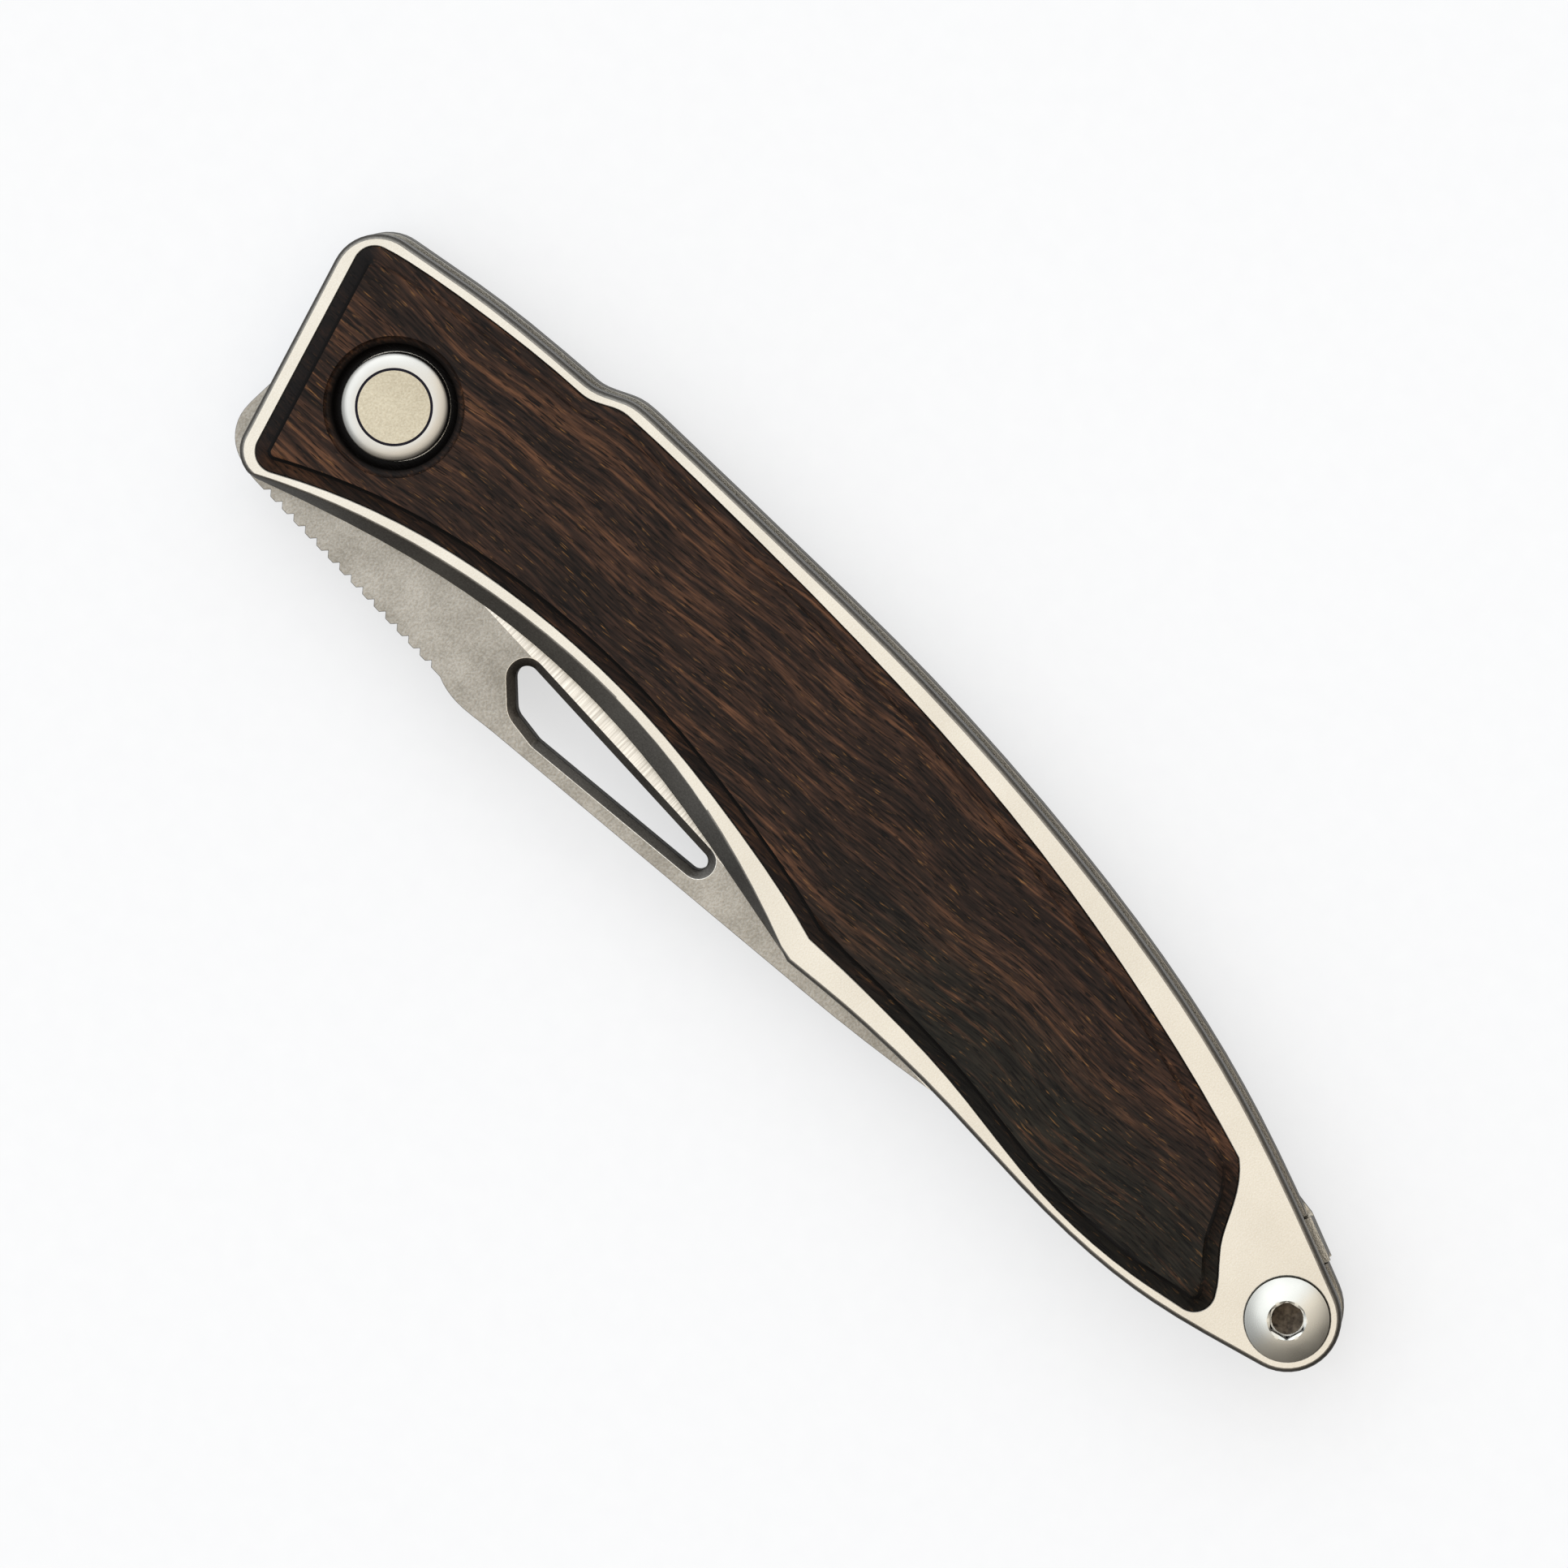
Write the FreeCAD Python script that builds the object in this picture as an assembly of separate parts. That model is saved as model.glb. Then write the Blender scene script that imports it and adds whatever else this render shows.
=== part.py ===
"""A closed frame-lock folding knife with wood inlays, built as its separate pieces.

The frame: the origin lies on the pivot axis, in the plane that the knife rests on.
+X runs from the pivot to the tail screw, +Y towards the handle's spine, and +Z up out
of the show side. The blade is closed: its tip points along +X and its spine along -Y.
All lengths are in millimetres.
"""

import FreeCAD, Part
import math
import os

# ---- thicknesses, stacked up from the resting plane ----
head_height = 1.6          # domed head of the back pivot screw, outside the back slab
slab_thickness = 1.9       # each titanium slab
washer_thickness = 0.5
blade_thickness = 2.5
inlay_proud = 0.6          # how far an inlay stands out of its slab
inlay_seat = 1.0           # depth of the pocket under an inlay

# ---- handle ----
shoulder_x = 12.0          # where the shaped front end gives way to the long body
body_length = 67.6         # from there to the tail screw's axis
tail_radius = 3.38
edge_break = 0.2           # chamfer round the outer face of a slab
scallop_lip = 1.1          # what the thumb scallop leaves of the slab's inner edge
scallop_width = 1.12       # how far it reaches in, just above the outer face
cut_past = 0.2             # how far a cut runs past the face that it opens
front_top_radius = 3.0
front_low_radius = 2.1
seat_web = 0.35            # what is left between a seat in a slab and the inlay's pocket
inlay_bevel = 0.45
inlay_corner = 1.3
back_inlay_corner = 1.0
back_inlay_x = 8.2         # front end of the back inlay
slot_margin = 1.1          # bare titanium between the lock's slot and the back inlay

# ---- pivot ----
bushing_radius = 2.4
washer_inset = 0.75        # the washers are smaller than the round of the tang
shank_radius = 1.6         # hollow shank of the pivot cap
thread_radius = 1.0        # shank of a screw
head_radius = 3.4
hole_gap = 0.58            # between the cap and the hole in the front inlay
dish_width = 0.47          # eased mouth of that hole
dish_depth = 0.3
ledge_height = 0.4         # wood left round the foot of the cap, at the bottom of the hole
ledge_fit = 0.06
cap_step = 0.05            # the cap's crown lies this far under the inlay's face
cap_floor = 0.6            # solid metal over the cap's threaded hole
shank_recess = 0.8         # from the back slab's face to the end of the cap's shank
ring_radius = 2.43         # turned line round the middle of the cap
ring_width = 0.14
ring_depth = 0.1
socket_flats = 2.1         # hex sockets, across the flats
socket_depth = 1.1
socket_ease = 0.18         # eased mouth of a hex socket

# ---- blade ----
pin_x = 8.2
pin_y = 5.0
pin_radius = 1.5
tang_radius = 5.35
choil_gap = 0.9            # under the stop pin, in the notch that takes it
choil_corner = 1.0
heel_y = 6.3               # the straight part of the cutting edge
tip_y = -0.8
tip_clearance = 2.2        # from the tip to the tail spacer
belly_start = 0.473        # share of the body where the edge starts to curve
edge_thickness = 0.5       # behind the cutting bevel
edge_bevel = 0.7
grind_y = -5.0             # where the hollow grind starts
grind_start_x = 12.6
grind_slope = -1.8         # heading of the grind line, in degrees
grind_radius = 75.0
tooth_pitch = 1.05
tooth_depth = 0.32
tooth_gap = 0.46           # half the width of the notch between two teeth, at its mouth
tooth_count = 15
first_tooth_x = -1.9
opening_circles = ((17.79, -6.29, 1.3), (19.4, -7.04, 1.84), (21.05, -7.39, 1.68), (33.49, -6.62, 1.13))
opening_break = 0.54       # width of the chamfer round the thumb opening
opening_break_depth = 0.42
dimple_depth = 0.25        # for the detent ball, in the tang's back face

# ---- lock ----
bar_tip_gap = 0.1          # from the round of the tang to the bar's hollow tip
bar_top_y = 0.6
bar_root_share = 0.562     # share of the body where the bar bends
slot_width = 0.65
neck_thickness = 0.9       # what the relief groove leaves at the root
groove_width = 5.0
groove_corner = 0.6
bar_nose_x = 10.6          # where the slot leaves the bar's tip for the belly
ball_radius = 0.75
ball_proud = 0.22
ball_x = 7.2
ball_y = -2.4

# ---- tail ----
spacer_radius = 2.2
tail_head_radius = 2.65
tail_head_height = 1.15
tail_seat = 0.2            # shallow seat under each tail screw's head
tail_screw_gap = 0.5       # between the ends of the two tail screws, inside the spacer
screw_end_gap = 0.4        # from the pivot screw's end to the front slab's inner face

# ---- pocket clip ----
clip_thickness = 0.6
clip_width = 5.0
clip_length = 37.0
clip_web_width = 3.0
clip_web_out = 0.3         # how far the clip's web stands past the slab's edge
clip_web_round = 0.28
clip_rim = 0.9             # round the tail spacer
clip_reach = 3.2           # of the tongue, in from the slab's edge
clip_fit = 0.1             # beside the web in its notch, and round the spacer in its eye
clip_y = 3.2
clip_bend = 3.0
clip_lift = 0.38           # from the crest down to the arm's touching point

# ---- clearances ----
running_fit = 0.02
stop_gap = 0.05

# ---- levels and places that follow ----
back_outer = head_height
back_inner = back_outer + slab_thickness
blade_low = back_inner + washer_thickness
blade_high = blade_low + blade_thickness
front_inner = blade_high + washer_thickness
front_outer = front_inner + slab_thickness
middle = (blade_low + blade_high) / 2
tail_x = shoulder_x + body_length
tip_x = tail_x - spacer_radius - tip_clearance
bar_root_x = shoulder_x + bar_root_share * body_length
seat_depth = slab_thickness - inlay_seat - seat_web
washer_radius = tang_radius - washer_inset
inlay_hole_radius = head_radius + hole_gap
dish_radius = inlay_hole_radius + dish_width
choil_floor = pin_y - pin_radius - choil_gap
bar_tip_radius = tang_radius + bar_tip_gap
back_inlay_y = bar_top_y + slot_width + slot_margin
tail_shank = (front_outer - back_outer - tail_screw_gap) / 2 - tail_seat

UP = FreeCAD.Vector(0, 0, 1)
tail_slant = -20.6         # heading of the spine side where it meets the tail, in degrees


def point(x, y, z=0.0):
    return FreeCAD.Vector(x, y, z)


def along(share, y):
    """A point of the long body: a share of its length from the shoulder, and a height."""
    return point(shoulder_x + share * body_length, y)


def polar(radius, degrees, x=0.0, y=0.0):
    angle = math.radians(degrees)
    return point(x + radius * math.cos(angle), y + radius * math.sin(angle))


def line(a, b):
    return Part.LineSegment(a, b).toShape()


def arc(a, b, c):
    """An arc from a through b to c."""
    return Part.Arc(a, b, c).toShape()


def curve(points, start=None, end=None):
    """A smooth curve through points, with its end directions if they matter."""
    spline = Part.BSplineCurve()
    if start is None:
        spline.interpolate(Points=points)
    else:
        spline.interpolate(Points=points, InitialTangent=start, FinalTangent=end)
    return spline.toShape()


def prism(edges, low, high):
    """The closed outline of the edges, standing between two levels."""
    face = Part.Face(Part.Wire(Part.__sortEdges__(edges)))
    face.translate(point(0, 0, low))
    return face.extrude(point(0, 0, high - low))


def polygon(points, low, high):
    corners = points + points[:1]
    return prism([line(a, b) for a, b in zip(corners, corners[1:])], low, high)


def disc(radius, low, high, x=0.0, y=0.0):
    return Part.makeCylinder(radius, high - low, point(x, y, low), UP)


def hexagon(flats, low, high, x=0.0, y=0.0, turn=0.0):
    corner = flats / 2 / math.cos(math.radians(30))
    return polygon([polar(corner, turn + 60 * k, x, y) for k in range(6)], low, high)


def turned(points):
    """A solid of revolution about the Z axis from (radius, level) points."""
    corners = [point(r, 0, z) for r, z in points]
    corners.append(corners[0])
    face = Part.Face(Part.makePolygon(corners))
    return face.revolve(point(0, 0, 0), UP, 360)


def flipped(shape):
    """The same shape turned over, front for back, about the middle of the blade."""
    return shape.mirror(point(0, 0, middle), UP)


def upright_edges(solid, corners=None, reach=0.6):
    """The vertical edges of the solid, or only those that stand at the given corners."""
    found = []
    for edge in solid.Edges:
        a, b = edge.Vertexes[0].Point, edge.Vertexes[-1].Point
        upright = abs(a.x - b.x) < 1e-6 and abs(a.y - b.y) < 1e-6 and abs(a.z - b.z) > 1e-6
        near = corners is None or any(math.hypot(a.x - c.x, a.y - c.y) < reach for c in corners)
        if upright and near:
            found.append(edge)
    return found


def rim_edges(solid, level):
    """The edges of the solid that lie wholly in one level."""
    return [e for e in solid.Edges
            if abs(e.BoundBox.ZMin - level) < 1e-5 and abs(e.BoundBox.ZMax - level) < 1e-5]


# ---- outlines ----
front_top = point(-10.15, 6.93)
front_low = point(-4.75, -10.2)
spine_end = polar(tail_radius, 90 + tail_slant, tail_x)
clip_root = point(tail_x - 1.95, 4.26)
belly_end = polar(tail_radius, -73.3, tail_x)
belly_corner = along(0.442, -6.78)


def spine_edges():
    """The spine side of a slab: a straight rise, a small shoulder and the long back."""
    foot = point(7.4, 9.66)
    head = point(shoulder_x, 11.0)
    back = [head, along(0.15, 11.35), along(0.325, 11.62), along(0.50, 11.15),
            along(0.68, 9.77), along(0.86, 6.95), spine_end]
    rise = [front_top, point(-5.6, 7.85), point(-1.0, 8.72), point(3.5, 9.3), foot]
    step = [foot, point(8.6, 10.02), point(9.8, 10.62), head]
    return [
        curve(rise, point(1, 0.22), point(1, 0.09)),
        curve(step, point(1, 0.09), point(1, 0.04)),
        curve(back, point(1, 0.04), polar(1, tail_slant)),
    ]


def tail_edges():
    return [arc(spine_end, point(tail_x + tail_radius, 0), belly_end)]


def belly_edges():
    """The belly side of a slab behind the thumb scallop."""
    back = [belly_end, along(0.89, -5.5), along(0.75, -6.2), along(0.62, -5.97),
            along(0.53, -6.17), belly_corner]
    return [curve(back, polar(1, -73.3 - 90), point(-1, -0.12))]


def hollow_edge(level=0.0, rise=0.0):
    """The hollow of the belly in front of it, at full depth or at the scallop's upper line."""
    depths = [(-0.118, -7.0, 1.0), (0.0, -4.95, 1.1), (0.125, -4.07, 1.28),
              (0.25, -4.55, 1.42), (0.355, -5.7, 1.02)]
    middle_points = [along(share, y + rise * lift) for share, y, lift in depths]
    points = [front_low] + middle_points + [belly_corner]
    spline = Part.BSplineCurve()
    spline.interpolate(Points=points)
    edge = spline.toShape()
    edge.translate(point(0, 0, level))
    return edge


def slab_outline():
    front = line(front_low, front_top)
    return [front] + spine_edges() + tail_edges() + belly_edges() + [hollow_edge()]


def thumb_scallop():
    """What is cut from the belly edge so that a thumb reaches the blade."""
    far = -30.0
    wires = []
    for level, rise in ((front_inner + scallop_lip, 0.0), (front_outer + cut_past, scallop_width)):
        corner_a = point(front_low.x, far, level)
        corner_b = point(belly_corner.x, far, level)
        start = point(front_low.x, front_low.y, level)
        end = point(belly_corner.x, belly_corner.y, level)
        edges = [hollow_edge(level, rise), line(end, corner_b), line(corner_b, corner_a),
                 line(corner_a, start)]
        wires.append(Part.Wire(edges))
    return Part.makeLoft(wires, True, True)


def slab():
    """A bare handle slab at the show side, with its broken edge and thumb scallop."""
    body = prism(slab_outline(), front_inner, front_outer)
    body = body.makeFillet(front_top_radius, upright_edges(body, [front_top]))
    body = body.makeFillet(front_low_radius, upright_edges(body, [front_low]))
    body = body.makeChamfer(edge_break, rim_edges(body, front_outer))
    return body.cut(thumb_scallop())


inlay_top = point(-8.68, 5.98)
inlay_low = point(-3.95, -9.25)
inlay_tail = along(0.95, -3.85)


def inlay_edges():
    """The outline of an inlay: a rim's width inside the slab, with an S-curved tail."""
    kink = along(0.441, -4.72)
    tail_high = along(0.862, 4.85)
    step_foot = point(7.6, 8.86)
    step_head = point(10.6, 10.0)
    rise = [inlay_top, point(-5.0, 7.1), point(0.0, 8.0), step_foot]
    back = [step_head, along(0.13, 10.33), along(0.32, 10.33), along(0.50, 9.6),
            along(0.68, 7.8), tail_high]
    s_bend = [tail_high, along(0.888, 2.7), along(0.908, 0.2), along(0.932, -1.65), inlay_tail]
    belly = [inlay_tail, along(0.87, -4.98), along(0.75, -5.45), along(0.62, -4.6),
             along(0.52, -4.5), kink]
    hollow = [kink, along(0.325, -3.15), along(0.16, -2.18), along(0.0, -3.17), point(5.0, -5.0),
              point(0.0, -7.07), inlay_low]
    return [
        line(inlay_low, inlay_top),
        curve(rise, point(1, 0.45), point(1, 0.06)),
        curve([step_foot, point(9.0, 9.35), step_head], point(1, 0.1), point(1, 0.1)),
        curve(back, point(1, 0.06), point(1, -0.3)),
        curve(s_bend, point(1, -0.75), point(0.5, -1)),
        curve(belly, point(-1, -0.2), point(-1, -0.06)),
        curve(hollow, point(-1, 0.28), point(-1, -0.62)),
    ]


def inlay_block(low, high):
    body = prism(inlay_edges(), low, high)
    return body.makeFillet(inlay_corner, upright_edges(body, [inlay_top, inlay_low, inlay_tail]))


def back_inlay_block(low, high):
    """The lock side's inlay: the same back, but it starts behind the pivot, above the slot."""
    window = Part.makeBox(body_length, back_inlay_y + 20, high - low,
                          point(back_inlay_x, back_inlay_y, low))
    block = inlay_block(low, high).common(window)
    cut_sides = [e for e in upright_edges(block)
                 if abs(e.BoundBox.XMin - back_inlay_x) < 0.01
                 or abs(e.BoundBox.YMin - back_inlay_y) < 0.01]
    return block.makeFillet(back_inlay_corner, cut_sides)


# ---- titanium slabs and the lock ----
def bore(radius, low, high, x=0.0, y=0.0):
    return disc(radius + running_fit, low, high, x, y)


def seats(body):
    """Cut what both slabs share: seats for the bushing, stop pin and tail screws."""
    floor = front_inner + seat_depth
    body = body.cut(bore(bushing_radius, front_inner - 1, floor))
    body = body.cut(bore(shank_radius, front_inner - 1, front_outer + 1))
    body = body.cut(bore(pin_radius, front_inner - 1, floor, pin_x, pin_y))
    body = body.cut(bore(thread_radius, front_inner - 1, front_outer + 1, tail_x))
    return body.cut(bore(tail_head_radius, front_outer - tail_seat, front_outer + 1, tail_x))


def front_frame():
    body = seats(slab())
    return body.cut(inlay_block(front_outer - inlay_seat, front_outer + 1))


def lock_region(grow):
    """The plan of the lock bar, grown by the slot's width where a slot runs round it."""
    low, high = back_outer - 1, back_inner + 1
    radius = bar_tip_radius - grow
    spread = 12.0 * (1 + grow)
    inner, mid, outer = [polar(radius, degrees) for degrees in (spread - 28, -28, -spread - 28)]
    top, far = bar_top_y + grow, -12.0
    nose = point(bar_nose_x - grow, -6.4 - grow)
    shoulder = point(8.6, top)
    edges = [
        arc(inner, mid, outer), line(outer, nose), line(nose, point(nose.x, far)),
        line(point(nose.x, far), point(bar_root_x, far)),
        line(point(bar_root_x, far), point(bar_root_x, top)),
        line(point(bar_root_x, top), shoulder), line(shoulder, inner),
    ]
    return prism(edges, low, high)


def lock_groove():
    """The relief across the root, which thins the bar so that it bends there."""
    high = back_inner - neck_thickness
    far, tall = -11.0, 3.0
    corner = point(bar_root_x - groove_width / 2, far, high - tall)
    box = Part.makeBox(groove_width, bar_top_y - far, tall, corner)
    return box.makeFillet(groove_corner, [e for e in rim_edges(box, high) if e.BoundBox.YLength > 5])


def back_slab():
    """The lock side's slab before the bar is cut free, with the clip's notch."""
    body = flipped(seats(slab())).cut(lock_groove())
    width = clip_web_width + 2 * clip_fit
    floor = clip_web_out - clip_thickness - clip_fit / 2
    notch = Part.makeBox(width, 1.2, slab_thickness + 1, point(-width / 2, floor, 0))
    return body.cut(on_tail_edge(notch, back_outer - 0.5))


def slot_end():
    """The round end of the slot at the bar's root."""
    y = bar_top_y + slot_width / 2
    return disc(slot_width, back_outer - 1, back_inner + 1, bar_root_x, y)


def back_frame():
    body = back_slab().cut(lock_region(slot_width)).cut(slot_end())
    return body.cut(back_inlay_block(back_outer - 1, back_outer + inlay_seat))


def lock_bar():
    body = back_slab().common(lock_region(0.0)).cut(slot_end())
    return body.cut(disc(ball_radius, back_outer, back_inner + 1, ball_x, ball_y))


def detent_ball():
    return Part.makeSphere(ball_radius, point(ball_x, ball_y, back_inner + ball_proud - ball_radius))


# ---- inlays ----
def front_inlay():
    low, high = front_outer - inlay_seat, front_outer + inlay_proud
    body = inlay_block(low, high)
    body = body.makeChamfer(inlay_bevel, rim_edges(body, high))
    body = body.cut(disc(head_radius + ledge_fit, low - 1, high + 1))
    body = body.cut(disc(inlay_hole_radius, low + ledge_height, high + 1))
    dish_floor = point(0, 0, high - dish_depth)
    return body.cut(Part.makeCone(inlay_hole_radius, dish_radius, dish_depth, dish_floor, UP))


def back_inlay():
    low, high = back_outer - inlay_proud, back_outer + inlay_seat
    body = back_inlay_block(low, high)
    return body.makeChamfer(inlay_bevel, rim_edges(body, low))


# ---- pivot ----
def washer(low):
    return disc(washer_radius, low, low + washer_thickness).cut(bore(bushing_radius, low - 1, low + 2))


def pivot_bushing():
    low, high = back_inner - seat_depth, front_inner + seat_depth
    return disc(bushing_radius, low, high).cut(bore(shank_radius, low - 1, high + 1))


def pivot_cap():
    """The show side's head, with a rounded rim and a turned ring, on a hollow shank."""
    floor = front_outer - inlay_seat
    crown = front_outer + inlay_proud - cap_step
    shank_end = back_outer + shank_recess
    rim = [(head_radius, crown - 0.75), (head_radius - 0.12, crown - 0.5),
           (head_radius - 0.45, crown - 0.2), (head_radius - 0.85, crown)]
    head = turned([(0, floor), (head_radius, floor)] + rim + [(0, crown)])
    ring = disc(ring_radius, crown - ring_depth, crown + 1)
    ring = ring.cut(disc(ring_radius - ring_width, crown - ring_depth, crown + 1))
    shank = disc(shank_radius, shank_end, floor)
    shank = shank.cut(bore(thread_radius, shank_end - 1, floor - cap_floor))
    return head.cut(ring).fuse(shank).removeSplitter()


def domed_head(radius, height, crown_flat):
    """A button head standing on the level 0: an upright rim, a dome and a flat top."""
    rim = 0.35 * height
    base, top = point(0, 0, 0), point(0, 0, height)
    rim_low, rim_high, flat = point(radius, 0, 0), point(radius, 0, rim), point(crown_flat, 0, height)
    dome = point(0.65 * radius + 0.35 * crown_flat, 0, 0.66 * height + 0.34 * rim)
    edges = [line(base, rim_low), line(rim_low, rim_high), arc(rim_high, dome, flat),
             line(flat, top), line(top, base)]
    return Part.Face(Part.Wire(edges)).revolve(base, UP, 360)


def screw(radius, height, shank_length, turn):
    """A button-head screw: its head rises from level 0 and its shank goes below it."""
    corner = socket_flats / 2 / math.cos(math.radians(30))
    body = domed_head(radius, height, corner + 2 * socket_ease)
    body = body.fuse(disc(thread_radius, -shank_length, 0))
    body = body.cut(hexagon(socket_flats, height - socket_depth, height + 1, turn=turn))
    mouth_floor = point(0, 0, height - socket_ease)
    return body.cut(Part.makeCone(corner - socket_ease / 2, corner + socket_ease / 2, socket_ease,
                                  mouth_floor, UP))


def pivot_screw():
    body = screw(head_radius, head_height, front_inner - back_outer - screw_end_gap, 0)
    body.rotate(point(0, 0, 0), point(1, 0, 0), 180)
    body.translate(point(0, 0, back_outer))
    return body


# ---- pins, spacer and tail screws ----
def stop_pin():
    return disc(pin_radius, back_inner - seat_depth, front_inner + seat_depth, pin_x, pin_y)


def tail_spacer():
    return disc(spacer_radius, back_inner, front_inner, tail_x).cut(
        bore(thread_radius, back_inner - 1, front_inner + 1, tail_x))


def tail_screw_front():
    body = screw(tail_head_radius, tail_head_height, tail_shank, 15)
    body.translate(point(tail_x, 0, front_outer - tail_seat))
    return body


def tail_screw_back():
    body = screw(tail_head_radius, tail_head_height, tail_shank, 15)
    body.rotate(point(0, 0, 0), point(1, 0, 0), 180)
    body.translate(point(tail_x, 0, back_outer + tail_seat))
    return body


# ---- blade ----
spine_start = point(first_tooth_x - 0.9, -9.8)
spine_step = point(13.9, -10.12)


def blade_plan():
    """The outline of the closed blade, from its heel round the tang to the tip and back."""
    heel = point(pin_x + pin_radius + stop_gap, heel_y)
    seat = point(heel.x, choil_floor + choil_corner)
    bend = polar(choil_corner, -45, heel.x - choil_corner, seat.y)
    floor = point(heel.x - choil_corner, choil_floor)
    tang_top = point(math.sqrt(tang_radius ** 2 - choil_floor ** 2), choil_floor)
    tang_side = polar(tang_radius, 180)
    wall = point(-pin_x + pin_radius + stop_gap, -pin_y)
    lobe_low = point(-4.6, -9.5)
    swell_end = point(18.8, -10.17)
    spine_straight = along(belly_start, -7.62)
    tip = point(tip_x, tip_y)
    edge_straight = along(belly_start, heel_y)
    return [
        line(heel, seat), arc(seat, bend, floor), line(floor, tang_top),
        arc(tang_top, polar(tang_radius, 110), tang_side),
        curve([tang_side, point(wall.x + 0.3, -3.2), wall], point(-0.2, -1), point(-0.03, -1)),
        curve([wall, point(wall.x + 0.23, -7.95), lobe_low], point(-0.03, -1), point(1, -0.3)),
        curve([lobe_low, spine_start], point(1, -0.3), point(1, 0)),
        line(spine_start, spine_step),
        curve([spine_step, point(15.3, -10.47), swell_end], point(1, -0.45), point(1, 0.1)),
        line(swell_end, spine_straight),
        tangent_arc(spine_straight, spine_straight.sub(swell_end), tip),
        tangent_arc(edge_straight, point(1, 0), tip),
        line(edge_straight, heel),
    ]


def arc_centre(start, direction, end):
    """The centre of the circle that leaves start in a direction and passes through end."""
    along_chord = end.sub(start)
    side = point(-direction.y, direction.x).normalize()
    radius = along_chord.dot(along_chord) / (2 * along_chord.dot(side))
    return start.add(side.multiply(radius))


def tangent_arc(start, direction, end):
    centre = arc_centre(start, point(direction.x, direction.y), end)
    half = start.add(end).sub(centre.add(centre))
    radius = start.distanceToPoint(centre)
    return arc(start, centre.add(half.normalize().multiply(radius)), end)


def opening_wire(inset, level):
    """The teardrop opening at a level: the tight hull round its circles."""
    circles = [(x, y, r - inset) for x, y, r in opening_circles]
    straights = []
    for (x1, y1, r1), (x2, y2, r2) in zip(circles, circles[1:] + circles[:1]):
        heading = math.atan2(y2 - y1, x2 - x1)
        angle = math.degrees(heading - math.acos((r1 - r2) / math.hypot(x2 - x1, y2 - y1)))
        straights.append((angle, polar(r1, angle, x1, y1), polar(r2, angle, x2, y2)))
    edges = []
    for k, (x, y, r) in enumerate(circles):
        before, after = straights[k - 1], straights[k]
        halfway = before[0] + ((after[0] - before[0]) % 360) / 2
        edges.append(arc(before[2], polar(r, halfway, x, y), after[1]))
        edges.append(line(after[1], after[2]))
    wire = Part.Wire(edges)
    wire.translate(point(0, 0, level))
    return wire


def thumb_opening():
    """The opening through the blade, with a chamfer at both faces."""
    through = Part.Face(opening_wire(opening_break, blade_low - 1))
    through = through.extrude(point(0, 0, blade_thickness + 2))
    ease = Part.makeLoft([opening_wire(opening_break, blade_high - opening_break_depth),
                          opening_wire(0.0, blade_high)], True, True)
    return through.fuse(ease).fuse(flipped(ease))


def hollow_grind():
    """What a large wheel takes from the show face, between the grind line and the edge."""
    sink = (blade_thickness - edge_thickness) / 2
    span = heel_y - grind_y
    chord = math.hypot(span, sink)
    lift = math.sqrt(grind_radius ** 2 - chord ** 2 / 4)
    axis_y = (grind_y + heel_y) / 2 + lift * sink / chord
    axis_z = blade_high - sink / 2 + lift * span / chord
    axis_end = point(grind_start_x, axis_y, axis_z)
    return Part.makeCylinder(grind_radius, tail_x, axis_end, polar(1, grind_slope))


def cutting_bevel():
    """The last bevel on the show side, along the straight edge and round the belly."""
    sharp = 0.04
    top = middle + edge_thickness
    section = [(heel_y - edge_bevel, middle + edge_thickness / 2), (heel_y, middle + sharp),
               (heel_y + 1, middle + sharp), (heel_y + 1, top + 1), (heel_y - edge_bevel, top + 1)]
    start_x = pin_x
    straight_x = shoulder_x + belly_start * body_length
    corners = [point(start_x, y, z) for y, z in section]
    straight = Part.Face(Part.makePolygon(corners + corners[:1])).extrude(point(straight_x - start_x, 0, 0))
    centre = arc_centre(along(belly_start, heel_y), point(1, 0), point(tip_x, tip_y))
    corners = [point(straight_x, y, z) for y, z in section]
    sweep = Part.Face(Part.makePolygon(corners + corners[:1])).revolve(centre, point(0, 0, -1), 40)
    return straight.fuse(sweep)


def blade():
    body = prism(blade_plan(), blade_low, blade_high)
    for k in range(tooth_count):
        x = first_tooth_x + tooth_pitch * k
        y = spine_start.y + (spine_step.y - spine_start.y) * k / tooth_count
        mouth_y = y - cut_past
        corners = [point(x - tooth_gap, mouth_y), point(x + tooth_gap, mouth_y), point(x, y + tooth_depth)]
        body = body.cut(polygon(corners, blade_low - 1, blade_high + 1))
    wheel = hollow_grind()
    bevel = cutting_bevel()
    for tool in (wheel, flipped(wheel), bevel, flipped(bevel), thumb_opening()):
        body = body.cut(tool)
    body = body.cut(bore(bushing_radius, blade_low - 1, blade_high + 1))
    dimple = Part.makeSphere(ball_radius, point(ball_x, ball_y, blade_low - ball_radius + dimple_depth))
    return body.cut(dimple)


# ---- pocket clip ----
def on_tail_edge(shape, level):
    """Set a shape against the slab's spine edge near the tail: its +Y becomes the way out."""
    shape.rotate(point(0, 0, 0), UP, tail_slant)
    shape.translate(point(clip_root.x, clip_root.y, level))
    return shape


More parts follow.
